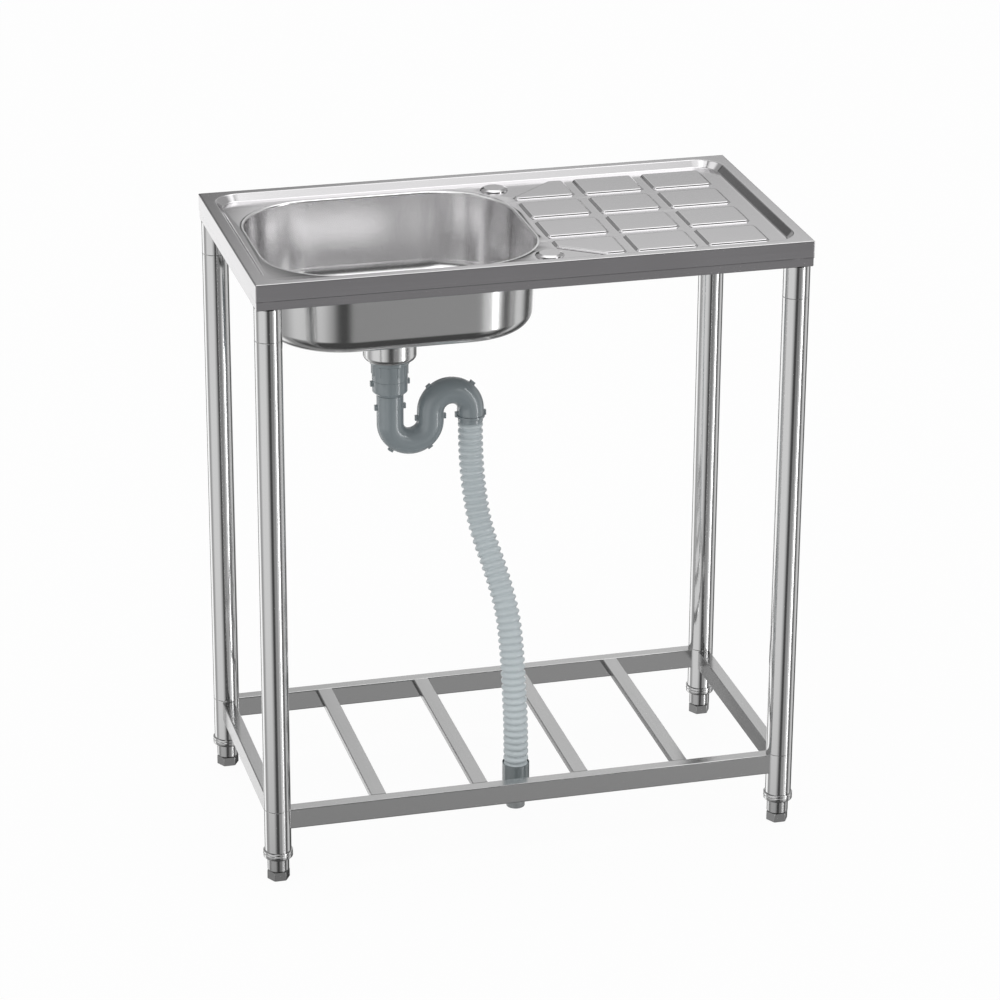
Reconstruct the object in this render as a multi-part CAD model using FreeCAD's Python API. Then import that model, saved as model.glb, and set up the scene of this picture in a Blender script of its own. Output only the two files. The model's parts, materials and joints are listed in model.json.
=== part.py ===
import FreeCAD, Part
import math
import os
from FreeCAD import Placement, Rotation, Vector

# A free-standing stainless kitchen sink table: a pressed deck with a bowl at the left and a drainer
# at the right, on four round legs with a slatted shelf, and a waste trap with a ribbed hose.
# Millimetres. X runs to the right, Y to the back and Z up; the origin is on the floor, at the centre.

# Overall
unit_length = 780.0
unit_depth = 412.0
unit_height = 890.0

# Deck pressing
sheet = 0.8
skirt_drop = 24.5
rim_end = 16.0
rim_front = 14.0
recess_depth = 9.5
recess_slope = 8.5
recess_radius = 38.0
skin_reach = 5.0

# Drainer pads
pad_length = 88.0
pad_width = 69.0
pad_rise = 2.8
pad_slope = 1.6
pad_radius = 6.0
pad_pitch_x = 102.3
pad_pitch_y = 87.2
pad_columns = 3
pad_rows = 4
drainer_centre_x = 192.0
back_cut_x = 66.0
back_cut_y = 60.0
front_cut_x = 60.0
front_cut_y = 44.0

# Raised tap ledges, one at the back and one at the front
ledge_x = 28.5
ledge_y = 150.0
ledge_base = 40.0
ledge_top = 29.0
ledge_rise = 4.0

# Bowl
bowl_x = -161.0
bowl_length = 383.0
bowl_width = 330.0
bowl_depth = 118.0
bowl_radius = 110.0
bowl_draft = 5.0
bowl_foot_radius = 36.0
bowl_lip_radius = 4.0
foot_steps = 5
lip_steps = 3

# Top frame of steel angle
frame_height = 36.0
frame_gap = 0.1
angle_flange = 28.0
angle_wall = 2.0
brace_width = 40.0
brace_lip = 12.0
brace_wall = 1.2

# Legs
leg_diameter = 38.0
leg_wall = 1.5
leg_inset_x = 19.3
leg_inset_y = 17.5
socket_length = 46.0
socket_cap = 3.0
seam_chamfer = 0.5
connector_length = 60.0
connector_wall = 2.0
connector_gap = 0.1

# Shelf frame
shelf_height = 108.0
shelf_seam = 109.2
shelf_rail_height = 30.0
shelf_rail_width = 18.0
shelf_rail_wall = 1.5
shelf_rail_edge = 1.5
weld_gap = 0.05
slat_count = 4
slat_width = 22.0
slat_thickness = 10.0
slat_wall = 1.2
slat_edge = 1.0

# Adjustable feet
collar_low = 34.0
collar_height = 11.0
collar_proud = 2.0
collar_bevel = 1.6
collar_groove = 0.8
insert_top = 74.0
insert_nut = 4.0
insert_gap = 0.1
hex_flats = 28.0
hex_height = 13.0
hex_bevel = 1.0
hex_shoulder = 2.5
shank_diameter = 31.0
shank_top = 50.0
stem_diameter = 12.0
stem_top = 90.0
foot_fit = 0.08

# Drain in the bowl
seat_radius = 60.0
seat_depth = 3.0
seat_slope = 5.0
drain_hole_radius = 44.0
gasket_thickness = 2.0
gasket_width = 10.0
flange_radius = 56.0
flange_thickness = 1.2
pan_radius = 36.0
pan_depth = 17.0
pan_lip = 5.0
pan_hole_radius = 4.5
pan_hole_count = 8
cup_radius = 38.4
cup_wall = 1.0
cup_rim_radius = 48.0
cup_height = 62.7
cup_round = 9.0
neck_radius = 18.5
neck_wall = 2.5
neck_length = 14.0
neck_flange_radius = 22.0
neck_flange_height = 4.0
bridge_width = 12.0
bridge_height = 5.0
screw_head_radius = 6.0
screw_head_height = 3.0
screw_radius = 3.0

# Strainer basket
basket_radius = 32.0
basket_height = 17.0
basket_wall = 1.0
basket_bend = 2.0
basket_rim_radius = 35.0
basket_clearance = 0.4
stopper_thickness = 2.5
stopper_radius = 30.0
basket_hole_radius = 2.6
basket_hole_count = 8
knob_radius = 9.0
knob_height = 8.0
knob_bevel = 2.0
post_radius = 3.0

# Trap
trap_pitch = 58.5
trap_pipe_radius = 19.3
trap_pipe_wall = 2.0
trap_inlet_length = 49.5
trap_riser_length = 12.2
bell_radius = 25.2
bell_height = 17.5
thread_radius = 22.5
washer_thickness = 2.0
pipe_fit = 0.1
nut_radius = 25.6
nut_height = 29.5
nut_ring_radius = 28.4
nut_ring_height = 6.0
nut_bevel = 0.8
nut_rib_count = 12
nut_rib_proud = 0.8
nut_rib_width = 3.0
nut_rib_lift = 8.0
outlet_length = 12.7
outlet_ring_radius = 20.7
outlet_ring_height = 3.5
lug_width = 5.0
lug_length = 8.0
lug_proud = 3.4
lug_root = 1.0
bell_lug_drop = 5.5
riser_lug_rise = 4.0
low_lug_angles = (-125.0, -55.0)
high_lug_angles = (50.0, 130.0)

# Hose
hose_crest_radius = 17.9
hose_root_radius = 14.6
hose_bore_radius = 12.5
hose_rib_pitch = 10.0
bore_ribs = 2
rib_crest_share = 0.42
rib_flank_share = 0.2
hose_fit = 0.3
cuff_radius = 17.9
cuff_length = 7.0
cuff_wall = 2.2
cuff_insert = 11.0
cuff_tail = 16.0
sleeve_radius = 19.6
sleeve_wall = 1.0
sleeve_top = 103.0
sleeve_low = 62.0
web_thickness = 4.0
spigot_radius = 13.4
spigot_wall = 1.9
spigot_low = 33.0

# The hose's route, from the trap's outlet to the sleeve. The points were chosen by hand.
hose_route = [
    Vector(-44.0, 0.0, 590.0),
    Vector(-44.0, 0.0, 545.0),
    Vector(-41.2, -8.0, 490.0),
    Vector(-36.0, -27.0, 436.0),
    Vector(-21.0, -66.0, 378.0),
    Vector(-11.5, -92.2, 326.0),
    Vector(-8.9, -105.5, 270.0),
    Vector(-6.8, -112.0, 210.0),
    Vector(-5.2, -116.7, 148.0),
    Vector(-5.2, -116.7, 85.0),
]
arc_share = 0.45

# Levels and places worked out from the sizes above
floor_z = unit_height - recess_depth
bowl_floor_z = floor_z - bowl_depth
seat_z = bowl_floor_z - seat_depth
frame_low = unit_height - sheet - frame_height
leg_x = unit_length / 2 - leg_inset_x
leg_y = unit_depth / 2 - leg_inset_y
leg_radius = leg_diameter / 2
socket_low = frame_low - socket_length
drain_x = bowl_x
flange_seat_z = seat_z + gasket_thickness
pan_low = flange_seat_z - pan_depth
cup_rim_z = seat_z - sheet - gasket_thickness
cup_low = cup_rim_z - cup_height
neck_low = cup_low - neck_length
bell_top = cup_low - nut_height
bell_low = bell_top - bell_height
trap_low_bend_z = bell_low - trap_inlet_length
trap_high_bend_z = trap_low_bend_z + trap_riser_length
outlet_low = trap_high_bend_z - outlet_length
cuff_low = outlet_low - cuff_length
riser_x = drain_x + trap_pitch
outlet_x = riser_x + trap_pitch
bend_radius = trap_pitch / 2
corners = {"front_left": (-1, -1), "front_right": (1, -1), "back_left": (-1, 1), "back_right": (1, 1)}
pieces = {}


def unit(vector):
    return vector * (1.0 / vector.Length)


def rectangle(centre_x, centre_y, length, width):
    """Corners of a rectangle, counter-clockwise from the front left."""
    low_x = centre_x - length / 2
    high_x = centre_x + length / 2
    low_y = centre_y - width / 2
    high_y = centre_y + width / 2
    corner_places = [(low_x, low_y), (high_x, low_y), (high_x, high_y), (low_x, high_y)]
    return [Vector(x, y, 0) for x, y in corner_places]


def outline(points, radius, z, inset=0.0):
    """Closed wire at height z: the counter-clockwise points moved in by inset, with rounded corners."""
    moved = []
    for index, here in enumerate(points):
        before = unit(here - points[index - 1])
        after = unit(points[(index + 1) % len(points)] - here)
        inward = Vector(-before.y - after.y, before.x + after.x, 0)
        moved.append(Vector(here.x, here.y, z) + inward * (inset / (1 + before.dot(after))))
    bend = radius - inset
    arcs = []
    for index, here in enumerate(moved):
        before = unit(here - moved[index - 1])
        after = unit(moved[(index + 1) % len(moved)] - here)
        reach = bend * math.tan(before.getAngle(after) / 2)
        start = here - before * reach
        centre = start + Vector(-before.y, before.x, 0) * bend
        middle = centre + unit(here - centre) * bend
        arcs.append((start, middle, here + after * reach))
    edges = []
    for index, (start, middle, end) in enumerate(arcs):
        edges.append(Part.Arc(start, middle, end).toShape())
        edges.append(Part.LineSegment(end, arcs[(index + 1) % len(arcs)][0]).toShape())
    return Part.Wire(edges)


def polygon(points, z):
    flat = [Vector(point.x, point.y, z) for point in points]
    return Part.Face(Part.makePolygon(flat + [flat[0]]))


def ruled(wires):
    return Part.makeLoft(wires, True, True)


def prism(points, radius, low, high, inset=0.0):
    return ruled([outline(points, radius, low, inset), outline(points, radius, high, inset)])


def turned(profile, centre_x=0.0, centre_y=0.0):
    """Solid of revolution about a vertical axis, from (radius, z) pairs round its section."""
    section = [Vector(radius, 0, z) for radius, z in profile]
    face = Part.Face(Part.makePolygon(section + [section[0]]))
    body = face.revolve(Vector(0, 0, 0), Vector(0, 0, 1), 360)
    body.translate(Vector(centre_x, centre_y, 0))
    return body


def cylinder(radius, low, high, centre_x=0.0, centre_y=0.0):
    return Part.makeCylinder(radius, high - low, Vector(centre_x, centre_y, low))


def tube(outer, inner, low, high, centre_x=0.0, centre_y=0.0):
    body = cylinder(outer, low, high, centre_x, centre_y)
    return body.cut(cylinder(inner, low, high, centre_x, centre_y))


def box(low_x, high_x, low_y, high_y, low_z, high_z):
    return Part.makeBox(high_x - low_x, high_y - low_y, high_z - low_z, Vector(low_x, low_y, low_z))


def slope_shift(run, rise, skin):
    """How far the underside of a sheet's bend lies to the side of its top face's bend."""
    return skin * math.tan(math.atan2(rise, run) / 2)


# Deck

def pad_points(column, row):
    """Corners of a drainer pad; the bowl's side cuts a corner off the first and the last pad."""
    x = drainer_centre_x + (column - (pad_columns - 1) / 2) * pad_pitch_x
    y = (row - (pad_rows - 1) / 2) * pad_pitch_y
    front_left, front_right, back_right, back_left = rectangle(x, y, pad_length, pad_width)
    if column == 0 and row == 0:
        toe = front_left + Vector(front_cut_x, 0, 0)
        shoulder = front_left + Vector(0, front_cut_y, 0)
        return [toe, front_right, back_right, back_left, shoulder]
    if column == 0 and row == pad_rows - 1:
        shoulder = back_left - Vector(0, back_cut_y, 0)
        toe = back_left + Vector(back_cut_x, 0, 0)
        return [front_left, front_right, back_right, toe, shoulder]
    return [front_left, front_right, back_right, back_left]


def deck_form(skin):
    """Everything below the deck's top face, or with a skin, below its underside."""
    top = unit_height - skin
    low = unit_height - skirt_drop - (skin_reach if skin else 0)
    half_x = unit_length / 2 - skin
    half_y = unit_depth / 2 - skin
    form = box(-half_x, half_x, -half_y, half_y, low, top)
    recess = rectangle(0, 0, unit_length - 2 * rim_end, unit_depth - 2 * rim_front)
    shift = slope_shift(recess_slope, recess_depth, skin)
    hollow = ruled([
        outline(recess, recess_radius, top, -shift),
        outline(recess, recess_radius, floor_z - skin, recess_slope - shift),
    ])
    form = form.cut(hollow)
    raised = []
    shift = slope_shift(pad_slope, pad_rise, skin)
    for column in range(pad_columns):
        for row in range(pad_rows):
            points = pad_points(column, row)
            raised.append(ruled([
                outline(points, pad_radius, floor_z - skin, shift),
                outline(points, pad_radius, floor_z - skin + pad_rise, pad_slope + shift),
            ]))
    shift = slope_shift((ledge_base - ledge_top) / 2, ledge_rise, skin)
    for side in (-1, 1):
        foot = Vector(ledge_x, side * ledge_y, floor_z - skin)
        raised.append(Part.makeCone(ledge_base / 2 - shift, ledge_top / 2 - shift, ledge_rise, foot))
    return form.fuse(raised)


def bowl_points():
    return rectangle(bowl_x, 0, bowl_length, bowl_width)


def make_deck():
    deck = deck_form(0).cut(deck_form(sheet))
    hole = prism(bowl_points(), bowl_radius, floor_z - skirt_drop, floor_z + pad_rise, -bowl_lip_radius)
    return deck.cut(hole)


def bowl_form(skin):
    """The bowl's hollow, or with a skin, the hollow and the sheet round it."""
    foot = bowl_foot_radius + skin
    lip = bowl_lip_radius - skin
    section = []
    for step in range(foot_steps + 1):
        angle = math.radians(90 * step / foot_steps)
        inset = bowl_draft + bowl_foot_radius - foot * math.sin(angle)
        section.append((inset, bowl_floor_z + bowl_foot_radius - foot * math.cos(angle)))
    for step in range(lip_steps + 1):
        angle = math.radians(90 * step / lip_steps)
        height = floor_z - bowl_lip_radius + lip * math.sin(angle)
        section.append((lip * math.cos(angle) - bowl_lip_radius, height))
    if skin:
        section.append((-bowl_lip_radius, floor_z))
    form = ruled([outline(bowl_points(), bowl_radius, z, inset) for inset, z in section])
    shift = slope_shift(seat_slope, seat_depth, skin)
    top_radius = seat_radius + shift
    seat_foot = Vector(drain_x, 0, seat_z - skin)
    seat = Part.makeCone(top_radius - seat_slope, top_radius, seat_depth, seat_foot)
    return form.fuse(seat)


def make_bowl():
    bowl = bowl_form(sheet).cut(bowl_form(0))
    return bowl.cut(cylinder(drain_hole_radius, seat_z - skirt_drop, bowl_floor_z, drain_x))


# Top frame

def mitred(length, width, low, high):
    """Bar along X with its outer edge at y = 0 and 45 degree ends."""
    half = length / 2
    face = polygon([Vector(-half, 0, 0), Vector(half, 0, 0), Vector(half - width, width, 0),
                    Vector(width - half, width, 0)], low)
    return face.extrude(Vector(0, 0, high - low))


def angle_rail(length, offset, turn):
    upright = mitred(length, angle_wall, frame_low, frame_low + frame_height)
    flange = mitred(length, angle_flange, frame_low, frame_low + angle_wall)
    rail = upright.fuse(flange).removeSplitter()
    rail.translate(Vector(0, -offset, 0))
    rail.rotate(Vector(0, 0, 0), Vector(0, 0, 1), turn)
    return rail


def make_brace():
    """Hat section under the drainer, from the front angle to the back angle."""
    reach = unit_depth / 2 - sheet - frame_gap - angle_wall
    low = frame_low + angle_wall
    high = floor_z - sheet
    half = brace_width / 2
    outer = box(-half, half, -reach, reach, low, high)
    inner = box(brace_wall - half, half - brace_wall, -reach, reach, low, high - brace_wall)
    lips = box(-half - brace_lip, half + brace_lip, -reach, reach, low, low + brace_wall)
    brace = outer.fuse(lips).cut(inner)
    brace.translate(Vector(drainer_centre_x, 0, 0))
    return brace.removeSplitter()


# Legs

def leg_section(low, high, chamfer_low, chamfer_high):
    """One length of leg tube, with a small chamfer where it meets the next."""
    inner = leg_radius - leg_wall
    low_cut = seam_chamfer if chamfer_low else 0
    high_cut = seam_chamfer if chamfer_high else 0
    return [
        (inner, low),
        (leg_radius - low_cut, low),
        (leg_radius, low + low_cut + weld_gap),
        (leg_radius, high - high_cut - weld_gap),
        (leg_radius - high_cut, high),
        (inner, high),
    ]


def make_socket(x, y):
    body = turned(leg_section(socket_low, frame_low, True, False), x, y)
    cap = cylinder(leg_radius - leg_wall, frame_low - socket_cap, frame_low, x, y)
    return body.fuse(cap).removeSplitter()


def make_connector(x, y, seam):
    outer = leg_radius - leg_wall - connector_gap
    half = connector_length / 2
    return tube(outer, outer - connector_wall, seam - half, seam + half, x, y)


# Shelf

def hollow_bar(length, width, height, wall, edge):
    """Rectangular tube along X, centred, with its top at z = 0 and rounded long edges."""
    bar = box(-length / 2, length / 2, -width / 2, width / 2, -height, 0)
    long_edges = [line for line in bar.Edges if abs(line.Length - length) < 0.001 * length]
    bar = bar.makeFillet(edge, long_edges)
    hollow = box(-length / 2, length / 2, wall - width / 2, width / 2 - wall, wall - height, -wall)
    return bar.cut(hollow)


def make_shelf_rail(side_x, side_y):
    """A rail between two legs; the side that isn't zero says which."""
    along_x = side_x == 0
    span = 2 * leg_x if along_x else 2 * leg_y
    rail = hollow_bar(span, shelf_rail_width, shelf_rail_height, shelf_rail_wall, shelf_rail_edge)
    if not along_x:
        rail.rotate(Vector(0, 0, 0), Vector(0, 0, 1), 90)
    rail.translate(Vector(side_x * leg_x, side_y * leg_y, shelf_height))
    for x, y in corners.values():
        rail = rail.cut(cylinder(leg_radius + weld_gap, 0, unit_height, x * leg_x, y * leg_y))
    return rail


def make_slat(number):
    length = 2 * leg_y - shelf_rail_width
    slat = hollow_bar(length, slat_width, slat_thickness, slat_wall, slat_edge)
    slat.rotate(Vector(0, 0, 0), Vector(0, 0, 1), 90)
    pitch = 2 * leg_x / (slat_count + 1)
    slat.translate(Vector((number + 1) * pitch - leg_x, 0, shelf_height))
    return slat


# Feet

def make_collar(x, y):
    """Insert in the foot of a leg: its bead shows below the tube, and its nut carries the foot."""
    bead = leg_radius + collar_proud
    high = collar_low + collar_height
    bore = shank_diameter / 2 + foot_fit
    sleeve = leg_radius - leg_wall - insert_gap
    groove = high - collar_bevel - collar_groove
    return turned([
        (bore, collar_low),
        (bead - collar_bevel, collar_low),
        (bead, collar_low + collar_bevel),
        (bead, groove - collar_groove),
        (bead - collar_groove, groove),
        (bead, groove + collar_groove),
        (bead, high),
        (sleeve, high),
        (sleeve, insert_top),
        (stem_diameter / 2 + foot_fit, insert_top),
        (stem_diameter / 2 + foot_fit, insert_top - insert_nut),
        (bore, insert_top - insert_nut),
    ], x, y)


def make_foot(x, y):
    """Hexagonal foot with a smooth shank and a threaded stem, turned by hand to level the table."""
    corner = hex_flats / math.sqrt(3)
    rim = [Vector(corner * math.cos(math.radians(60 * k)), corner * math.sin(math.radians(60 * k)), 0)
           for k in range(6)]
    hexagon = polygon(rim, 0).extrude(Vector(0, 0, hex_height))
    crown = turned([
        (0, 0),
        (corner - hex_bevel / 2, 0),
        (corner, hex_bevel / 2),
        (corner, hex_height - hex_bevel),
        (corner - hex_bevel, hex_height),
        (0, hex_height),
    ])
    shank = shank_diameter / 2
    stem = stem_diameter / 2
    neck = (hex_flats - hex_bevel) / 2
    shaft = turned([
        (0, hex_height / 2),
        (neck, hex_height / 2),
        (neck, hex_height),
        (shank, hex_height + hex_shoulder),
        (shank, shank_top),
        (stem, shank_top),
        (stem, stem_top),
        (0, stem_top),
    ])
    foot = hexagon.common(crown).fuse(shaft)
    foot.translate(Vector(x, y, 0))
    return foot


# Drain

def make_flange():
    """Flange in the bowl, dished into a pan whose floor has drain holes round a screw hole."""
    top = flange_seat_z + flange_thickness
    inner = pan_radius - flange_thickness
    shoulder = pan_radius + pan_lip
    flange = turned([
        (screw_radius, pan_low),
        (pan_radius, pan_low),
        (pan_radius, flange_seat_z - pan_lip),
        (shoulder, flange_seat_z),
        (flange_radius, flange_seat_z),
        (flange_radius, flange_seat_z + flange_thickness / 2),
        (flange_radius - flange_thickness, top),
        (shoulder, top),
        (inner, flange_seat_z - pan_lip),
        (inner, pan_low + flange_thickness),
        (screw_radius, pan_low + flange_thickness),
    ], drain_x)
    ring = (pan_radius + screw_head_radius) / 2
    for number in range(pan_hole_count):
        angle = 2 * math.pi * number / pan_hole_count
        x = drain_x + ring * math.cos(angle)
        y = ring * math.sin(angle)
        flange = flange.cut(cylinder(pan_hole_radius, pan_low, pan_low + flange_thickness, x, y))
    return flange


def make_cup():
    """Waste cup under the bowl, with a threaded neck and a bridge that the long screw pulls on."""
    inner = cup_radius - cup_wall
    bore = neck_radius - neck_wall
    round_points = []
    inner_points = []
    for step in range(lip_steps + 1):
        angle = math.radians(90 * step / lip_steps)
        out = cup_radius - cup_round + cup_round * math.cos(angle)
        drop = cup_low + cup_round - cup_round * math.sin(angle)
        round_points.append((out, drop))
        bend = cup_round - cup_wall
        out = cup_radius - cup_round + bend * math.cos(angle)
        drop = cup_low + cup_round - bend * math.sin(angle)
        inner_points.append((out, drop))
    profile = [
        (inner, cup_rim_z),
        (cup_rim_radius, cup_rim_z),
        (cup_rim_radius, cup_rim_z - cup_wall),
        (cup_radius, cup_rim_z - cup_wall),
    ]
    profile += round_points
    profile += [
        (neck_radius, cup_low),
        (neck_radius, neck_low + neck_flange_height),
        (neck_flange_radius, neck_low + neck_flange_height),
        (neck_flange_radius, neck_low),
        (bore, neck_low),
        (bore, cup_low + cup_wall),
    ]
    profile += reversed(inner_points)
    cup = turned(profile, drain_x)
    reach = bore + cup_wall
    half = bridge_width / 2
    bridge_top = cup_low + bridge_height
    bridge = box(drain_x - reach, drain_x + reach, -half, half, cup_low + cup_wall / 2, bridge_top)
    cup = cup.fuse(bridge)
    return cup.cut(cylinder(screw_radius, cup_low, bridge_top, drain_x))


def make_basket_parts():
    floor = pan_low + flange_thickness
    hole = screw_head_radius + stopper_thickness
    stopper = turned([
        (hole, floor),
        (stopper_radius, floor),
        (stopper_radius, floor + stopper_thickness),
        (hole, floor + stopper_thickness),
    ], drain_x)
    low = floor + stopper_thickness
    cap = low + screw_head_height
    shift = slope_shift(basket_bend, basket_bend, basket_wall)
    basket = turned([
        (0, cap),
        (hole, cap),
        (hole + basket_wall, low),
        (basket_radius - basket_bend, low),
        (basket_radius, low + basket_bend),
        (basket_radius, low + basket_height - basket_wall),
        (basket_rim_radius - basket_clearance, low + basket_height - basket_wall),
        (basket_rim_radius - basket_clearance, low + basket_height),
        (basket_radius - basket_wall, low + basket_height),
        (basket_radius - basket_wall, low + basket_bend + shift),
        (basket_radius - basket_bend - shift, low + basket_wall),
        (hole + 2 * basket_wall, low + basket_wall),
        (hole + basket_wall, cap + basket_wall),
        (0, cap + basket_wall),
    ], drain_x)
    ring = (basket_radius + hole) / 2
    for number in range(basket_hole_count):
        angle = 2 * math.pi * number / basket_hole_count
        x = drain_x + ring * math.cos(angle)
        y = ring * math.sin(angle)
        basket = basket.cut(cylinder(basket_hole_radius, low, low + basket_wall, x, y))
        side = Part.makeCylinder(basket_hole_radius, basket_wall * 4, Vector(0, 0, 0), Vector(1, 0, 0))
        side.translate(Vector(basket_radius - basket_bend, 0, low + basket_height / 2))
        side.rotate(Vector(0, 0, 0), Vector(0, 0, 1), math.degrees(angle))
        side.translate(Vector(drain_x, 0, 0))
        basket = basket.cut(side)
    seat = cap + basket_wall
    top = low + basket_height + knob_height / 2
    knob = turned([
        (0, seat),
        (2 * post_radius, seat),
        (post_radius, seat + basket_wall),
        (post_radius, top - knob_height),
        (knob_radius - knob_bevel / 2, top - knob_height),
        (knob_radius, top - knob_height + knob_bevel / 2),
        (knob_radius, top - knob_bevel),
        (knob_radius - knob_bevel, top),
        (0, top),
    ], drain_x)
    return basket, stopper, knob


# Trap

def lug(x, z, angle):
    """Moulding lug that stands out of the trap, angle degrees up from +X in the trap's plane."""
    body = box(-lug_root, lug_proud, -lug_width / 2, lug_width / 2, -lug_length / 2, lug_length / 2)
    body.rotate(Vector(0, 0, 0), Vector(0, 1, 0), -angle)
    body.translate(Vector(x, 0, z))
    return body


def pipe_bend(radius, start_x, z, side):
    """Half ring of pipe from start_x to the right, over the top or, where side is -1, below."""
    start = Vector(start_x, 0, z)
    circle = Part.Face(Part.Wire(Part.makeCircle(radius, start, Vector(0, 0, 1))))
    return circle.revolve(start + Vector(bend_radius, 0, 0), Vector(0, side, 0), 180)


def trap_pipe(radius):
    """The S of the trap, solid, at one radius."""
    run_down = cylinder(radius, trap_low_bend_z, bell_low, drain_x)
    riser = cylinder(radius, trap_low_bend_z, trap_high_bend_z, riser_x)
    outlet = cylinder(radius, outlet_low, trap_high_bend_z, outlet_x)
    low_bend = pipe_bend(radius, drain_x, trap_low_bend_z, -1)
    high_bend = pipe_bend(radius, riser_x, trap_high_bend_z, 1)
    return run_down.fuse([low_bend, riser, high_bend, outlet])


def make_trap():
    bore = trap_pipe_radius - trap_pipe_wall
    bell_foot = bell_low - bell_radius + trap_pipe_radius
    thread_top = neck_low - washer_thickness
    bell = turned([
        (trap_pipe_radius, bell_foot),
        (bell_radius, bell_low),
        (bell_radius, bell_top),
        (thread_radius, bell_top),
        (thread_radius, thread_top),
        (bore, thread_top),
        (bore, bell_foot),
    ], drain_x)
    ring = cylinder(outlet_ring_radius, outlet_low, outlet_low + outlet_ring_height, outlet_x)
    lugs = []
    upright_runs = [
        (drain_x, bell_radius, bell_top - bell_lug_drop),
        (drain_x, trap_pipe_radius, (bell_low + trap_low_bend_z) / 2),
        (riser_x, trap_pipe_radius, trap_low_bend_z + riser_lug_rise),
        (outlet_x, trap_pipe_radius, trap_low_bend_z + riser_lug_rise),
    ]
    for x, radius, z in upright_runs:
        lugs.append(lug(x - radius, z, 180))
        lugs.append(lug(x + radius, z, 0))
    outer = bend_radius + trap_pipe_radius
    for angle in low_lug_angles:
        slant = math.radians(angle)
        lugs.append(lug(drain_x + bend_radius + outer * math.cos(slant),
                        trap_low_bend_z + outer * math.sin(slant), angle))
    for angle in high_lug_angles:
        slant = math.radians(angle)
        lugs.append(lug(riser_x + bend_radius + outer * math.cos(slant),
                        trap_high_bend_z + outer * math.sin(slant), angle))
    body = trap_pipe(trap_pipe_radius).fuse([bell, ring] + lugs)
    return body.cut(trap_pipe(bore))


def make_trap_nut():
    """Union nut that holds the flange of the cup's neck down on the trap's threaded collar."""
    top = cup_low
    bore = thread_radius + pipe_fit
    ring_low = top - nut_ring_height
    shoulder = neck_low + neck_flange_height
    nut = turned([
        (bore, bell_top),
        (nut_radius - nut_bevel, bell_top),
        (nut_radius, bell_top + nut_bevel),
        (nut_radius, ring_low),
        (nut_ring_radius, ring_low + nut_bevel),
        (nut_ring_radius, top - nut_bevel),
        (nut_ring_radius - nut_bevel, top),
        (neck_radius + pipe_fit, top),
        (neck_radius + pipe_fit, shoulder),
        (bore, shoulder),
    ])
    ribs = []
    for number in range(nut_rib_count):
        rib = box(-nut_rib_proud, nut_rib_proud, -nut_rib_width / 2, nut_rib_width / 2,
                  bell_top + nut_rib_lift, ring_low + nut_bevel)
        rib.translate(Vector(nut_radius, 0, 0))
        rib.rotate(Vector(0, 0, 0), Vector(0, 0, 1), 360 * (number + 0.5) / nut_rib_count)
        ribs.append(rib)
    nut = nut.fuse(ribs)
    nut.translate(Vector(drain_x, 0, 0))
    return nut


# Hose

def route_edges(points):
    """Straight runs joined by tangent arcs; prints each arc's radius."""
    edges = []
    last = points[0]
    radii = []
    for index in range(1, len(points) - 1):
        here = points[index]
        run_in = here - points[index - 1]
        run_out = points[index + 1] - here
        turn = run_in.getAngle(run_out)
        reach = arc_share * min(run_in.Length, run_out.Length)
        radius = reach / math.tan(turn / 2)
        radii.append(round(radius))
        start = here - unit(run_in) * reach
        end = here + unit(run_out) * reach
        to_centre = unit(unit(run_out) - unit(run_in))
        centre = here + to_centre * (radius / math.cos(turn / 2))
        middle = centre - to_centre * radius
        edges.append(Part.LineSegment(last, start).toShape())
        edges.append(Part.Arc(start, middle, end).toShape())
        last = end
    edges.append(Part.LineSegment(last, points[-1]).toShape())
    print("hose arc radii", radii)
    return edges


def ring_at(edges, distance, radius):
    """Circle round the route, at a distance along it, with its seam always on the same side."""
    for edge in edges:
        if distance <= edge.Length or edge is edges[-1]:
            break
        distance -= edge.Length
    place = edge.getParameterByLength(min(distance, edge.Length))
    along = edge.tangentAt(place)
    side = Vector(1, 0, 0)
    turn = Rotation(side, Vector(0, 0, 0), along, "ZXY")
    circle = Part.Wire(Part.makeCircle(radius))
    circle.Placement = Placement(edge.valueAt(place), turn)
    return circle


def make_hose():
    """Ribbed hose: every rib is a rise, a crest, a fall and a root between its neighbours."""
    edges = route_edges(hose_route)
    length = sum(edge.Length for edge in edges)
    count = round(length / hose_rib_pitch)
    pitch = length / count
    flank = rib_flank_share * pitch
    crest = rib_crest_share * pitch
    start = (pitch - crest - 2 * flank) / 2
    outside = [ring_at(edges, 0, hose_root_radius)]
    for number in range(count):
        foot = number * pitch + start
        outside.append(ring_at(edges, foot, hose_root_radius))
        outside.append(ring_at(edges, foot + flank, hose_crest_radius))
        outside.append(ring_at(edges, foot + flank + crest, hose_crest_radius))
        outside.append(ring_at(edges, foot + 2 * flank + crest, hose_root_radius))
    outside.append(ring_at(edges, length, hose_root_radius))
    bore_count = round(length / (hose_rib_pitch * bore_ribs))
    inside = []
    for number in range(bore_count + 1):
        inside.append(ring_at(edges, length * number / bore_count, hose_bore_radius))
    hose = ruled(outside).cut(ruled(inside))
    print("hose length", round(length, 1), "ribs", count, "volume", round(hose.Volume))
    return hose


def make_cuff():
    """Grey end piece of the hose, pushed up into the trap's outlet."""
    bore = trap_pipe_radius - trap_pipe_wall - pipe_fit
    inner = hose_bore_radius - hose_fit - cuff_wall
    return turned([
        (inner, cuff_low - cuff_tail),
        (hose_bore_radius - hose_fit, cuff_low - cuff_tail),
        (hose_bore_radius - hose_fit, cuff_low),
        (cuff_radius, cuff_low),
        (cuff_radius, outlet_low),
        (bore, outlet_low),
        (bore, outlet_low + cuff_insert),
        (inner, outlet_low + cuff_insert),
    ], outlet_x)


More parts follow.
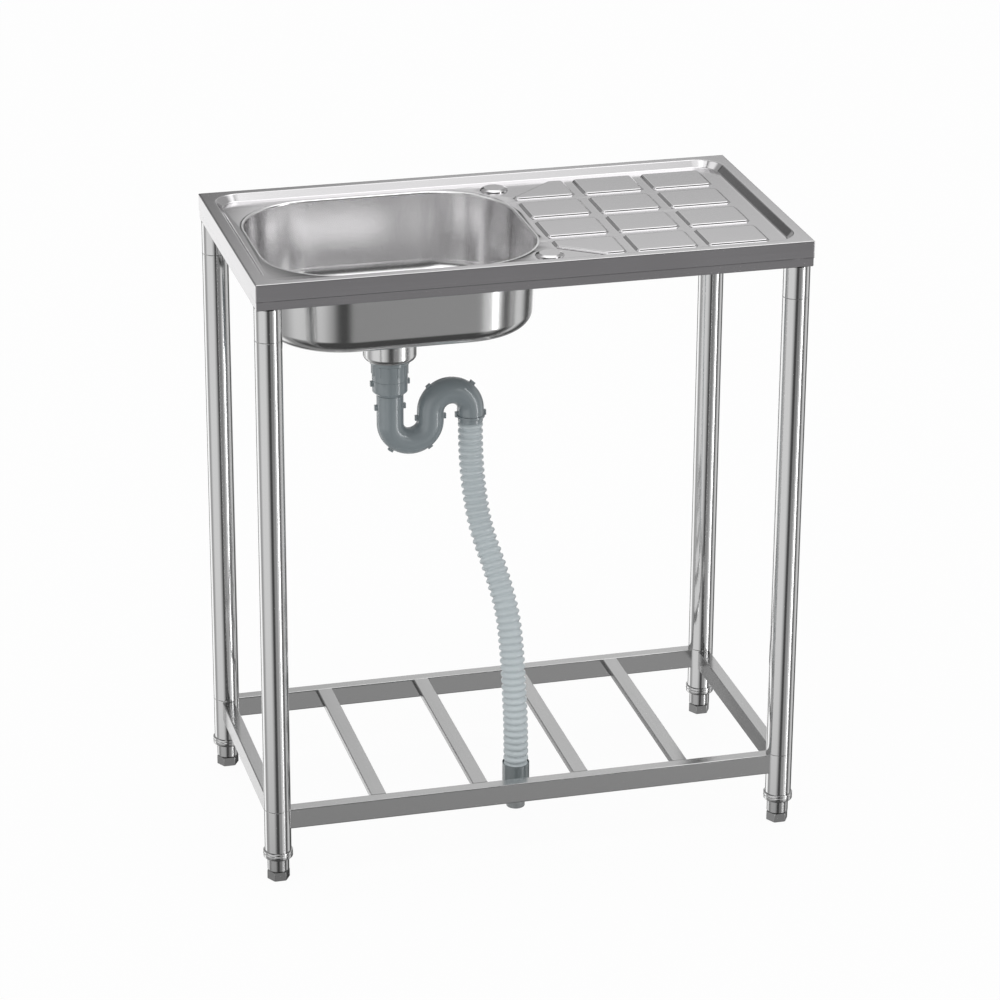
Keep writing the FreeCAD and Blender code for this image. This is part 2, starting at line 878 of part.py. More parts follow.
def make_sleeve():
    end = hose_route[-1]
    inner = sleeve_radius - sleeve_wall
    hole = spigot_radius - spigot_wall
    return turned([
        (inner, sleeve_low),
        (sleeve_radius, sleeve_low),
        (sleeve_radius, sleeve_top),
        (inner, sleeve_top),
        (inner, end.z),
        (hole, end.z),
        (hole, end.z - web_thickness),
        (inner, end.z - web_thickness),
    ], end.x, end.y)


def make_spigot():
    end = hose_route[-1]
    top = end.z - web_thickness
    collar = sleeve_radius - sleeve_wall - hose_fit
    return turned([
        (spigot_radius - spigot_wall, spigot_low),
        (spigot_radius, spigot_low),
        (spigot_radius, sleeve_low),
        (collar, sleeve_low),
        (collar, top),
        (spigot_radius - spigot_wall, top),
    ], end.x, end.y)


pieces["sink_deck"] = make_deck()
pieces["sink_bowl"] = make_bowl()

rail_x = unit_length / 2 - sheet - frame_gap
rail_y = unit_depth / 2 - sheet - frame_gap
pieces["top_rail_front"] = angle_rail(2 * rail_x, rail_y, 0)
pieces["top_rail_right"] = angle_rail(2 * rail_y, rail_x, 90)
pieces["top_rail_back"] = angle_rail(2 * rail_x, rail_y, 180)
pieces["top_rail_left"] = angle_rail(2 * rail_y, rail_x, 270)
pieces["drainer_brace"] = make_brace()

upper_connectors = []
lower_connectors = []
for corner, (side_x, side_y) in corners.items():
    x = side_x * leg_x
    y = side_y * leg_y
    pieces["leg_socket_" + corner] = make_socket(x, y)
    pieces["leg_tube_" + corner] = turned(leg_section(shelf_seam, socket_low, True, True), x, y)
    low_section = leg_section(collar_low + collar_height, shelf_seam, False, True)
    pieces["shelf_corner_" + corner] = turned(low_section, x, y)
    pieces["foot_collar_" + corner] = make_collar(x, y)
    pieces["foot_" + corner] = make_foot(x, y)
    upper_connectors.append(make_connector(x, y, socket_low))
    lower_connectors.append(make_connector(x, y, shelf_seam))
pieces["leg_upper_connectors"] = Part.makeCompound(upper_connectors)
pieces["leg_lower_connectors"] = Part.makeCompound(lower_connectors)

pieces["shelf_rail_front"] = make_shelf_rail(0, -1)
pieces["shelf_rail_back"] = make_shelf_rail(0, 1)
pieces["shelf_rail_left"] = make_shelf_rail(-1, 0)
pieces["shelf_rail_right"] = make_shelf_rail(1, 0)
for number in range(slat_count):
    pieces["shelf_slat_" + str(number + 1)] = make_slat(number)

gasket_high = seat_z + gasket_thickness
gasket_out = drain_hole_radius + gasket_width
pieces["drain_upper_gasket"] = tube(gasket_out, drain_hole_radius, seat_z, gasket_high, drain_x)
pieces["drain_flange"] = make_flange()
pieces["drain_lower_gasket"] = tube(cup_rim_radius, cup_radius, cup_rim_z, seat_z - sheet, drain_x)
pieces["drain_cup"] = make_cup()
screw_top = pan_low + flange_thickness
screw_head = cylinder(screw_head_radius, screw_top, screw_top + screw_head_height, drain_x)
pieces["drain_screw"] = screw_head.fuse(cylinder(screw_radius, cup_low, screw_top, drain_x))
basket, stopper, knob = make_basket_parts()
pieces["strainer_basket"] = basket
pieces["basket_stopper"] = stopper
pieces["basket_knob"] = knob

pieces["trap_nut"] = make_trap_nut()
washer_bore = trap_pipe_radius - trap_pipe_wall
pieces["trap_washer"] = tube(neck_flange_radius, washer_bore, neck_low - washer_thickness, neck_low, drain_x)
pieces["trap_body"] = make_trap()
pieces["hose_cuff"] = make_cuff()
pieces["waste_hose"] = make_hose()
pieces["hose_sleeve"] = make_sleeve()
pieces["hose_spigot"] = make_spigot()

os.makedirs("parts", exist_ok=True)
for name, shape in pieces.items():
    shape.exportStep("parts/" + name + ".step")
print("pieces", len(pieces))
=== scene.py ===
import json
import math

import bmesh
import bpy
from mathutils import Matrix, Vector, geometry


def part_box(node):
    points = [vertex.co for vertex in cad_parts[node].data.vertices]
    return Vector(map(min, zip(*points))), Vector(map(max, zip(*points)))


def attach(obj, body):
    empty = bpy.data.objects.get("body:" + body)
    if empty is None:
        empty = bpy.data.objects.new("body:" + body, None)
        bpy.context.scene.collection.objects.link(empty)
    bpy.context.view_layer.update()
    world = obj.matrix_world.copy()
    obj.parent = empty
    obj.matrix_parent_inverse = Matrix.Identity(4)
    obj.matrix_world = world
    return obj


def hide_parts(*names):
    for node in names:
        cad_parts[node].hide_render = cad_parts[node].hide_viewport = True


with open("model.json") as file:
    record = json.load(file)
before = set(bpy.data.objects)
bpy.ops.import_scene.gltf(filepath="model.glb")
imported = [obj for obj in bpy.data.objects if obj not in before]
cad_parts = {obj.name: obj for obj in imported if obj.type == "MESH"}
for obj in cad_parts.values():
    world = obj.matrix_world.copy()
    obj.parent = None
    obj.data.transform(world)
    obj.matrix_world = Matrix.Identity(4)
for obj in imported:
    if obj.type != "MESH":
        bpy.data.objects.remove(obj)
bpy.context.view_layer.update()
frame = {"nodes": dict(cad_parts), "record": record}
scene = bpy.context.scene
mm = 0.001
slotOf = {row["node"]: row["material_slot"] for row in frame["record"]["subparts"]}
bodyOf = {name: body for body, names in frame["record"]["behaviour"]["bodies"].items() for name in names}
cornerNames = ["front_left", "front_right", "back_left", "back_right"]


# Small helpers for meshes

def addObject(name, data):
    piece = bpy.data.objects.new(name, data)
    scene.collection.objects.link(piece)
    return piece


def boxMm(node):  # a node's lowest and highest corner in millimetres
    low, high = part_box(node)
    return low / mm, high / mm


def planCentre(low, high):
    return (high.x + low.x) / 2, (high.y + low.y) / 2


def standFor(piece, *nodes):  # the piece rides on its nodes' body, and the nodes are hidden
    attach(piece, bodyOf[nodes[0]])
    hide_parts(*nodes)
    return piece


def smoothMesh(mesh, angle=35):
    for face in mesh.polygons:
        face.use_smooth = True
    mesh.set_sharp_from_angle(angle=math.radians(angle))


def evenNormals(piece):  # flat faces keep flat shading beside small rounded edges
    modifier = piece.modifiers.new("evenNormals", "WEIGHTED_NORMAL")
    modifier.keep_sharp = True


def thicken(piece, name, thickness):  # gives a skin a wall that grows inwards
    wall = piece.modifiers.new(name, "SOLIDIFY")
    wall.thickness = thickness
    wall.offset = -1
    return wall


def meshFrom(name, bm, material, angle=35):
    bmesh.ops.remove_doubles(bm, verts=bm.verts, dist=0.00001)
    mesh = bpy.data.meshes.new(name)
    bm.to_mesh(mesh)
    bm.free()
    smoothMesh(mesh, angle)
    for each in material if isinstance(material, list) else [material]:
        mesh.materials.append(each)
    return addObject(name, mesh)


def filleted(points, steps=4, closed=False):
    # Takes (a, b, radius) points; a corner with a radius becomes an arc.
    made = []
    for index, (a, b, radius) in enumerate(points):
        here = Vector((a, b))
        if radius <= 0 or (not closed and index in (0, len(points) - 1)):
            made.append(here)
            continue
        before = (Vector(points[index - 1][:2]) - here)
        after = (Vector(points[(index + 1) % len(points)][:2]) - here)
        half = before.angle(after) / 2
        reach = min(radius / math.tan(half), 0.49 * before.length, 0.49 * after.length)
        bend = reach * math.tan(half)
        centre = here + (before.normalized() + after.normalized()).normalized() * (bend / math.sin(half))
        start = here + before.normalized() * reach - centre
        end = here + after.normalized() * reach - centre
        first = math.atan2(start.y, start.x)
        sweep = (math.atan2(end.y, end.x) - first + math.pi) % (2 * math.pi) - math.pi
        for step in range(steps + 1):
            angle = first + sweep * step / steps
            made.append(centre + Vector((math.cos(angle), math.sin(angle))) * bend)
    return made


def circleAt(centre, radius, z, around):
    angles = [2 * math.pi * step / around for step in range(around)]
    return [Vector((centre[0] + radius * math.cos(a), centre[1] + radius * math.sin(a), z)) for a in angles]


def addLoop(bm, points):
    return [bm.verts.new(point * mm) for point in points]


def skinLoops(bm, loops):
    for outer, inner in zip(loops, loops[1:]):
        for index in range(len(outer)):
            after = (index + 1) % len(outer)
            bm.faces.new([outer[index], outer[after], inner[after], inner[index]])


def turnedPiece(name, profile, centre, material, around=96):
    # A turned part: the closed outline of its section, as (radius, z) points in millimetres.
    bm = bmesh.new()
    rings = [addLoop(bm, circleAt(centre, radius, z, around)) for radius, z in profile]
    skinLoops(bm, rings + rings[:1])
    bmesh.ops.recalc_face_normals(bm, faces=bm.faces)
    piece = meshFrom(name, bm, material)
    evenNormals(piece)
    return piece


def softenedCopy(name, node, material, edge=0.0, angle=35):
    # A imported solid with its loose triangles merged, and its sharp edges broken where edge is given.
    bm = bmesh.new()
    bm.from_mesh(frame["nodes"][node].data)
    bmesh.ops.remove_doubles(bm, verts=bm.verts, dist=0.000005)
    if edge:
        bmesh.ops.dissolve_limit(bm, angle_limit=math.radians(0.5), verts=bm.verts, edges=bm.edges)
    for layers in (bm.loops.layers.float_vector, bm.loops.layers.int):
        if "custom_normal" in layers:
            layers.remove(layers["custom_normal"])
    piece = meshFrom(name, bm, material, angle)
    if "custom_normal" in piece.data.attributes:
        piece.data.attributes.remove(piece.data.attributes["custom_normal"])
    if edge:
        bevel = piece.modifiers.new("brokenEdges", "BEVEL")
        bevel.width = edge * mm
        bevel.segments = 2
        bevel.limit_method = "ANGLE"
        bevel.angle_limit = math.radians(angle)
    evenNormals(piece)
    return piece


# Small helpers for node trees

def addNode(tree, kind, inputs=None, **settings):
    made = tree.nodes.new(kind)
    for key, value in settings.items():
        setattr(made, key, value)
    for key, value in (inputs or {}).items():
        if isinstance(value, bpy.types.NodeSocket):
            tree.links.new(value, made.inputs[key])
        else:
            made.inputs[key].default_value = value
    return made


def calculate(tree, operation, *values):
    return addNode(tree, "ShaderNodeMath", dict(enumerate(values)), operation=operation).outputs[0]


def smoothRamp(tree, value, fromLow, fromHigh, toLow, toHigh):
    inputs = {"Value": value, "From Min": fromLow, "From Max": fromHigh, "To Min": toLow, "To Max": toHigh}
    return addNode(tree, "ShaderNodeMapRange", inputs, interpolation_type="SMOOTHSTEP").outputs[0]


def socketKind(value):
    if isinstance(value, str):
        return "NodeSocket" + value
    if isinstance(value, (int, float)):
        return "NodeSocketInt" if isinstance(value, int) else "NodeSocketFloat"
    return "NodeSocketColor" if len(value) == 4 else "NodeSocketVector"


def newGroup(name, kind, inputs, outputs):
    # Inputs are given by their default, or by their kind where they have none; outputs by their kind.
    tree = bpy.data.node_groups.new(name, kind)
    for label, value in inputs.items():
        made = tree.interface.new_socket(name=label, in_out="INPUT", socket_type=socketKind(value))
        if not isinstance(value, str):
            made.default_value = value
    for label, value in outputs.items():
        tree.interface.new_socket(name=label, in_out="OUTPUT", socket_type=socketKind(value))
    source = tree.nodes.new("NodeGroupInput").outputs
    target = tree.nodes.new("NodeGroupOutput").inputs
    return tree, source, target


# Camera, at the photographed view

view = {
    "place": (-1.28417, -4.84003, 2.51974),
    "yaw": 14.861,
    "pitch": 22.323,
    "roll": 0.306,
    "lens": 135.774,
    "sensor": 36.0,
    "farthest": 100.0,
}


def setCamera():
    data = bpy.data.cameras.new("camera")
    data.lens = view["lens"]
    data.sensor_width = view["sensor"]
    data.clip_end = view["farthest"]
    camera = addObject("camera", data)
    yaw = math.radians(view["yaw"])
    pitch = math.radians(view["pitch"])
    look = Vector((math.sin(yaw) * math.cos(pitch), math.cos(yaw) * math.cos(pitch), -math.sin(pitch)))
    roll = Matrix.Rotation(math.radians(view["roll"]), 3, "Z")
    turn = look.to_track_quat("-Z", "Y").to_matrix() @ roll
    camera.matrix_world = Matrix.Translation(view["place"]) @ turn.to_4x4()
    scene.camera = camera


setCamera()
print("camera set")


# Studio: white backdrop, even ambient light, and soft panels and flags that only reflections see.
# Azimuth 0 is in front of the sink, 90 at its right; angles are in degrees.

studio = {
    "ambient": 0.95,
    "reflectedLevel": 0.46,
    "darkest": 0.08,
    "panels": {  # middle azimuth, half width, lowest, highest, soft edge, added level
        "back floor": (-158, 38, -48, -8, 8, 0.7),
        "left back floor": (-138, 13, -50, -8, 6, 0.3),
        "back floor flag": (-157, 8, -60, -5, 3, -1.0),
        "low back light": (157, 12, -20, 4, 5, 1.0),
        "back wall": (161, 10, 18, 24, 2, 0.5),
        "low back wall flag": (163, 13, 8, 15, 2, -0.3),
        "back flag": (177, 7, 6, 24, 6, -0.8),
        "upper back wall": (165, 6, 25, 36, 2, 0.3),
        "left back flag": (-150, 19, -6, 14, 4, -0.12),
        "upper left back flag": (-140, 22, 15, 21, 2, -0.4),
        "left wall": (-62, 32, -45, 10, 13, 0.46),
        "left low flag": (-50, 45, -85, -28, 3, -0.45),
        "left front flag": (-8, 10, -60, 44, 7, -0.38),
        "front flag": (8, 16, -14, 47, 3, -0.3),
        "apron flag": (15, 22, -22.6, -12, 1.5, -0.16),
        "front upper flag": (-25, 65, 26, 54, 3, -0.45),
        "left upper flag": (-35, 22, 57, 70, 6, -0.4),
        "low front flag": (8, 70, -85, -33, 5, -0.5),
        "window": (43, 15, -50, 0, 6, 0.45),
        "window core": (48, 2.4, -25.5, 30, 2, 7.0),
        "window side": (67, 6, -50, 10, 4, -0.34),
        "window upper flag": (62, 16, 14, 46, 4, -0.46),
        "window upper core": (25, 4, 12, 26, 3, 1.4),
        "right wall": (94, 11, -50, 20, 7, 0.4),
        "right flag": (122, 10, -60, 4, 6, -0.38),
        "foot flag": (132, 9, -60, -26, 2, -0.45),
        "low floor flag": (0, 200, -110, -27, 2.5, -0.13),
        "ceiling": (0, 200, 60, 100, 2, 0.78),
        "right ceiling": (122, 68, 49, 74, 6, 1.2),
        "left upper wall": (-105, 30, 38, 57, 4, 0.8),
        "left ceiling flag": (-105, 50, 60, 84, 6, -1.2),
    },
    "keyPlace": (-0.9, -1.1, 3.2),
    "keyAim": (0, 0, 0.5),
    "keySize": 1.6,
    "keyPower": 10.0,
    "floorSize": 40.0,
    "floorTone": 0.75,
    "floorGlow": 0.95,
}


def panelGroup():
    labels = ["Azimuth", "Elevation", "Centre", "Half Width", "Low", "High", "Soft", "Level"]
    inputs = dict.fromkeys(labels, 0.0)
    tree, source, target = newGroup("studioPanel", "ShaderNodeTree", inputs, {"Light": "Float"})

    def softEdge(value, label, before, after):
        start = calculate(tree, "SUBTRACT", source[label], source["Soft"])
        end = calculate(tree, "ADD", source[label], source["Soft"])
        return smoothRamp(tree, value, start, end, before, after)

    turn = calculate(tree, "SUBTRACT", source["Azimuth"], source["Centre"])
    offset = calculate(tree, "ABSOLUTE", calculate(tree, "WRAP", turn, 180.0, -180.0))
    beside = softEdge(offset, "Half Width", 1.0, 0.0)
    above = softEdge(source["Elevation"], "Low", 0.0, 1.0)
    below = softEdge(source["Elevation"], "High", 1.0, 0.0)
    mask = calculate(tree, "MULTIPLY", calculate(tree, "MULTIPLY", beside, above), below)
    tree.links.new(calculate(tree, "MULTIPLY", mask, source["Level"]), target["Light"])
    return tree


def seenRays(tree):  # the Light Path outputs, and 1 for the rays that see the backdrop itself
    ray = addNode(tree, "ShaderNodeLightPath").outputs
    return ray, calculate(tree, "MAXIMUM", ray["Is Camera Ray"], ray["Is Transmission Ray"])


def setWorld():
    world = bpy.data.worlds.new("studio")
    scene.world = world
    world.use_nodes = True
    tree = world.node_tree
    tree.nodes.clear()
    direction = addNode(tree, "ShaderNodeTexCoord").outputs["Generated"]
    x, y, z = addNode(tree, "ShaderNodeSeparateXYZ", {0: direction}).outputs
    azimuth = calculate(tree, "DEGREES", calculate(tree, "ARCTAN2", x, calculate(tree, "MULTIPLY", y, -1.0)))
    elevation = calculate(tree, "DEGREES", calculate(tree, "ARCSINE", z))
    group = panelGroup()
    total = studio["reflectedLevel"]
    for name, (centre, halfWidth, low, high, soft, level) in studio["panels"].items():
        made = addNode(tree, "ShaderNodeGroup", node_tree=group, label=name)
        tree.links.new(azimuth, made.inputs["Azimuth"])
        tree.links.new(elevation, made.inputs["Elevation"])
        for label, value in {"Centre": centre, "Half Width": halfWidth, "Low": low, "High": high,
                             "Soft": soft, "Level": level}.items():
            made.inputs[label].default_value = value
        total = calculate(tree, "ADD", made.outputs["Light"], total)
    reflected = calculate(tree, "MAXIMUM", total, studio["darkest"])
    ray, seen = seenRays(tree)
    ambient = studio["ambient"]
    plain = calculate(tree, "ADD", ambient, calculate(tree, "MULTIPLY", seen, 1.0 - ambient))
    mixed = addNode(tree, "ShaderNodeMix", {"Factor": ray["Is Glossy Ray"], 2: plain, 3: reflected},
                    data_type="FLOAT")
    background = addNode(tree, "ShaderNodeBackground", {"Color": (1, 1, 1, 1), "Strength": mixed.outputs[0]})
    output = addNode(tree, "ShaderNodeOutputWorld")
    tree.links.new(background.outputs[0], output.inputs["Surface"])
    world.cycles.sampling_method = "NONE"


def setLamp():
    data = bpy.data.lights.new("keyLamp", "AREA")
    data.size = studio["keySize"]
    data.energy = studio["keyPower"]
    lamp = addObject("keyLamp", data)
    place = Vector(studio["keyPlace"])
    lamp.location = place
    lamp.rotation_euler = (Vector(studio["keyAim"]) - place).to_track_quat("-Z", "Y").to_euler()


def setFloor():
    material = bpy.data.materials.new("floorWhite")
    material.use_nodes = True
    tree = material.node_tree
    tree.nodes.clear()
    tone = studio["floorTone"]
    matt = addNode(tree, "ShaderNodeBsdfDiffuse", {"Color": (tone, tone, tone, 1)})
    glow = addNode(tree, "ShaderNodeEmission", {"Color": (1, 1, 1, 1), "Strength": 1.0})
    share = calculate(tree, "MULTIPLY", seenRays(tree)[1], studio["floorGlow"])
    lit = addNode(tree, "ShaderNodeMixShader", {0: share, 1: matt.outputs[0], 2: glow.outputs[0]})
    clear = addNode(tree, "ShaderNodeBsdfTransparent")
    behind = addNode(tree, "ShaderNodeNewGeometry").outputs["Backfacing"]
    both = addNode(tree, "ShaderNodeMixShader", {0: behind, 1: lit.outputs[0], 2: clear.outputs[0]})
    output = addNode(tree, "ShaderNodeOutputMaterial")
    tree.links.new(both.outputs[0], output.inputs["Surface"])
    half = studio["floorSize"] / 2
    corners = [(-half, -half, 0), (half, -half, 0), (half, half, 0), (-half, half, 0)]
    mesh = bpy.data.meshes.new("floor")
    mesh.from_pydata(corners, [], [(0, 1, 2, 3)])
    mesh.materials.append(material)
    floor = addObject("floor", mesh)
    floor.visible_glossy = False


setWorld()
setLamp()
setFloor()
scene.view_settings.view_transform = "Standard"
print("studio set")


# Finishes. Two shared groups: drawn and brushed steel, and moulded plastic.

def noise(tree, place, scale, detail, roughness=0.5):
    inputs = {"Vector": place, "Scale": scale, "Detail": detail, "Roughness": roughness}
    return addNode(tree, "ShaderNodeTexNoise", inputs).outputs[0]


def finishGroup(name, tone, more):  # starts a finish: its sockets and the object's own coordinates
    inputs = {"Color": (*tone, 1), "Color Spread": 0.05, "Roughness": 0.2, "Roughness Spread": 0.05, **more}
    outputs = {"Color": "Color", "Roughness": "Float", "Normal": "Vector"}
    tree, source, target = newGroup(name, "ShaderNodeTree", inputs, outputs)
    return tree, source, target, addNode(tree, "ShaderNodeTexCoord").outputs["Object"]


def closeFinish(tree, source, target, pattern, fine, depth):
    # The pattern swings the tone and the roughness, and the fine noise makes the relief.
    swing = calculate(tree, "MULTIPLY", calculate(tree, "SUBTRACT", pattern, 0.5), 2.0)
    shade = calculate(tree, "ADD", 1.0, calculate(tree, "MULTIPLY", swing, source["Color Spread"]))
    color = addNode(tree, "ShaderNodeVectorMath", {0: source["Color"], "Scale": shade}, operation="SCALE")
    spread = calculate(tree, "MULTIPLY", swing, source["Roughness Spread"])
    bump = addNode(tree, "ShaderNodeBump", {"Strength": 1.0, "Distance": source[depth], "Height": fine})
    tree.links.new(color.outputs[0], target["Color"])
    tree.links.new(calculate(tree, "ADD", source["Roughness"], spread), target["Roughness"])
    tree.links.new(bump.outputs[0], target["Normal"])
    return tree


def steelGroup():
    tree, source, target, place = finishGroup("steelGrain", (0.6, 0.6, 0.6), {
        "Stretch": (1, 1, 1), "Scratch Depth": 0.00002, "Smudge Scale": 7.0})
    along = addNode(tree, "ShaderNodeVectorMath", {0: place, 1: source["Stretch"]}, operation="MULTIPLY")
    fine = noise(tree, along.outputs[0], 1.0, 3.0, 0.65)
    broad = noise(tree, place, source["Smudge Scale"], 2.0)
    both = calculate(tree, "ADD", calculate(tree, "MULTIPLY", fine, 0.6), calculate(tree, "MULTIPLY", broad, 0.4))
    return closeFinish(tree, source, target, both, fine, "Scratch Depth")


def plasticGroup():
    tree, source, target, place = finishGroup("mouldedSkin", (0.2, 0.2, 0.2), {
        "Dimple Depth": 0.00002, "Dimple Scale": 260.0, "Patch Scale": 22.0})
    fine = noise(tree, place, source["Dimple Scale"], 2.0)
    broad = noise(tree, place, source["Patch Scale"], 3.0)
    return closeFinish(tree, source, target, broad, fine, "Dimple Depth")


steelGrain = steelGroup()
mouldedSkin = plasticGroup()


def finish(name, group, values, metallic, **plain):
    # One Principled shader fed by a shared group; numbers that are the same all over sit on its own sockets.
    material = bpy.data.materials.new(name)
    material.use_nodes = True
    tree = material.node_tree
    shader = tree.nodes["Principled BSDF"]
    grain = addNode(tree, "ShaderNodeGroup", node_tree=group)
    for key, value in values.items():
        grain.inputs[key].default_value = value
    tree.links.new(grain.outputs["Color"], shader.inputs["Base Color"])
    tree.links.new(grain.outputs["Roughness"], shader.inputs["Roughness"])
    tree.links.new(grain.outputs["Normal"], shader.inputs["Normal"])
    shader.inputs["Metallic"].default_value = metallic
    for key, value in plain.items():
        shader.inputs[key.replace("_", " ")].default_value = value
    material.diffuse_color = tuple(values["Color"])
    return material


def steel(name, tone, stretch, rough, depth, spread=0.05, roughSpread=0.05):
    return finish(name, steelGrain, {
        "Stretch": stretch, "Color": (*tone, 1), "Color Spread": spread, "Roughness": rough,
        "Roughness Spread": roughSpread, "Scratch Depth": depth * mm}, 1.0)


def plastic(name, tone, rough, depth, spread=0.05, coat=0.3, coatRough=0.12):
    return finish(name, mouldedSkin, {
        "Color": (*tone, 1), "Color Spread": spread, "Roughness": rough, "Dimple Depth": depth * mm},
        0.0, Coat_Weight=coat, Coat_Roughness=coatRough)


steelTone = (0.62, 0.612, 0.62)
deckSteel = steel("deckSteel", steelTone, (14, 900, 900), 0.13, 0.008, spread=0.08)
deckEndSteel = steel("deckEndSteel", steelTone, (900, 14, 900), 0.13, 0.008, spread=0.08)
# The inside of the bowl gets a much lighter tone than the same sheet outside: painted light. Its finer grain is its
# own.
bowlInsidePaintedLightSteel = steel("bowlInsidePaintedLightSteel", (0.88, 0.875, 0.88), (260, 260, 40), 0.22, 0.004, spread=0.07)
# The front and back faces of the deck sheet and the top rails get a darker tone than the same steel on the ends and
# the top: painted shade.
apronPaintedShadeSteel = steel("apronPaintedShadeSteel", (0.545, 0.532, 0.55), (6, 900, 1500), 0.13, 0.004, spread=0.16)
apronEndSteel = steel("apronEndSteel", (0.62, 0.612, 0.62), (900, 6, 1500), 0.13, 0.004, spread=0.1)
bowlOutside = steel("bowlOutside", (0.62, 0.62, 0.62), (60, 60, 300), 0.17, 0.004)
braceSteel = steel("braceSteel", (0.6, 0.592, 0.6), (900, 14, 900), 0.24, 0.02)
tubeSteel = steel("tubeSteel", (0.64, 0.64, 0.64), (240, 240, 5), 0.12, 0.0015, roughSpread=0.03)
railSteel = steel("railSteel", (0.6, 0.6, 0.6), (12, 700, 700), 0.17, 0.008, spread=0.08)
railEndSteel = steel("railEndSteel", (0.6, 0.6, 0.6), (700, 12, 700), 0.17, 0.008, spread=0.08)
slatSteel = steel("slatSteel", (0.58, 0.58, 0.58), (900, 9, 900), 0.17, 0.008, spread=0.14)
footSteel = steel("footSteel", (0.62, 0.62, 0.62), (160, 160, 160), 0.14, 0.003)
hexagonSteel = steel("hexagonSteel", (0.45, 0.45, 0.45), (160, 160, 160), 0.16, 0.004)
chromeSteel = steel("chromeSteel", (0.69, 0.69, 0.69), (120, 120, 20), 0.18, 0.002, roughSpread=0.02)
plainSteel = steel("plainSteel", (0.55, 0.55, 0.55), (160, 160, 30), 0.3, 0.01)
trapGrey = plastic("trapGrey", (0.236, 0.272, 0.289), 0.32, 0.003, spread=0.07, coat=0.9, coatRough=0.03)
hoseGrey = plastic("hoseGrey", (0.545, 0.60, 0.62), 0.3, 0.006, coat=0.35, coatRough=0.1)
sleeveGrey = plastic("sleeveGrey", (0.17, 0.198, 0.205), 0.24, 0.004, coat=0.6, coatRough=0.06)
spigotGrey = plastic("spigotGrey", (0.27, 0.28, 0.285), 0.34, 0.008, coat=0.1)
sealRubber = plastic("sealRubber", (0.03, 0.03, 0.032), 0.6, 0.02, coat=0.0)

nodeFinish = {
    "connector_steel": plainSteel,
    "screw_steel": plainSteel,
    "seal_rubber": sealRubber,
}
for name, piece in frame["nodes"].items():
    if slotOf[name] in nodeFinish:
        for place in piece.material_slots:
            place.material = nodeFinish[slotOf[name]]
print("finishes made")


# Geometry Nodes trees for what repeats

def bakeTree(carrier, tree, values, name):
    # Runs the tree on the carrier with the named values, and keeps the result as a plain mesh.
    modifier = carrier.modifiers.new(tree.name, "NODES")
    modifier.node_group = tree
    for item in tree.interface.items_tree:
        if item.item_type == "SOCKET" and item.in_out == "INPUT" and item.name in values:
            modifier[item.identifier] = values[item.name]
    bpy.context.view_layer.update()
    graph = bpy.context.evaluated_depsgraph_get()
    mesh = bpy.data.meshes.new_from_object(carrier.evaluated_get(graph))
    bpy.data.objects.remove(carrier)
    return addObject(name, mesh)


def startTree(name, inputs):  # every tree takes a shape, its own inputs and a material
    inputs = {"Geometry": "Geometry", **inputs, "Material": "Material"}
    return newGroup(name, "GeometryNodeTree", inputs, {"Geometry": "Geometry"})


def closeTree(tree, shape, source, target):  # and ends with instances made real and the material set
    real = addNode(tree, "GeometryNodeRealizeInstances", {0: shape})
    painted = addNode(tree, "GeometryNodeSetMaterial", {
        "Geometry": real.outputs[0], "Material": source["Material"]})
    tree.links.new(painted.outputs[0], target["Geometry"])
    return tree


def cornerTree():  # copies what it is given to the four corners
    tree, source, target = startTree("cornerCopies", {"Spacing X": 0.7, "Spacing Y": 0.4})
    grid = addNode(tree, "GeometryNodeMeshGrid", {
        "Size X": source["Spacing X"], "Size Y": source["Spacing Y"], "Vertices X": 2, "Vertices Y": 2})
    copies = addNode(tree, "GeometryNodeInstanceOnPoints", {
        "Points": grid.outputs[0], "Instance": source["Geometry"]})
    return closeTree(tree, copies.outputs[0], source, target)


def blockTree():  # a small block at every point, turned by the point's own angles
    tree, source, target = startTree("blockCopies", {"Block Size": (0.005, 0.005, 0.005)})
    block = addNode(tree, "GeometryNodeMeshCube", {"Size": source["Block Size"]})
    turn = addNode(tree, "GeometryNodeInputNamedAttribute", {"Name": "turn"}, data_type="FLOAT_VECTOR")
    copies = addNode(tree, "GeometryNodeInstanceOnPoints", {
        "Points": source["Geometry"], "Instance": block.outputs[0], "Rotation": turn.outputs[0]})
    return closeTree(tree, copies.outputs[0], source, target)


def slatTree():  # a row of rounded bars along Y
    tree, source, target = startTree("slatRow", {
        "Count": 4, "Pitch": 0.1, "Length": 0.3, "Width": 0.02, "Thickness": 0.01, "Edge Radius": 0.001,
        "Edge Steps": 3, "First Place": (0, 0, 0)})
    section = addNode(tree, "GeometryNodeCurvePrimitiveQuadrilateral", {
        "Width": source["Width"], "Height": source["Thickness"]})
    rounded = addNode(tree, "GeometryNodeFilletCurve", {
        "Curve": section.outputs[0], "Radius": source["Edge Radius"], "Count": source["Edge Steps"]}, mode="POLY")
    half = calculate(tree, "MULTIPLY", source["Length"], 0.5)
    front = addNode(tree, "ShaderNodeCombineXYZ", {"Y": calculate(tree, "MULTIPLY", half, -1.0)})
    back = addNode(tree, "ShaderNodeCombineXYZ", {"Y": half})
    line = addNode(tree, "GeometryNodeCurvePrimitiveLine", {"Start": front.outputs[0], "End": back.outputs[0]})
    bar = addNode(tree, "GeometryNodeCurveToMesh", {
        "Curve": line.outputs[0], "Profile Curve": rounded.outputs[0], "Fill Caps": True})
    step = addNode(tree, "ShaderNodeCombineXYZ", {"X": source["Pitch"]})
    row = addNode(tree, "GeometryNodeMeshLine", {
        "Count": source["Count"], "Start Location": source["First Place"], "Offset": step.outputs[0]})
    copies = addNode(tree, "GeometryNodeInstanceOnPoints", {"Points": row.outputs[0], "Instance": bar.outputs[0]})
    return closeTree(tree, copies.outputs[0], source, target)


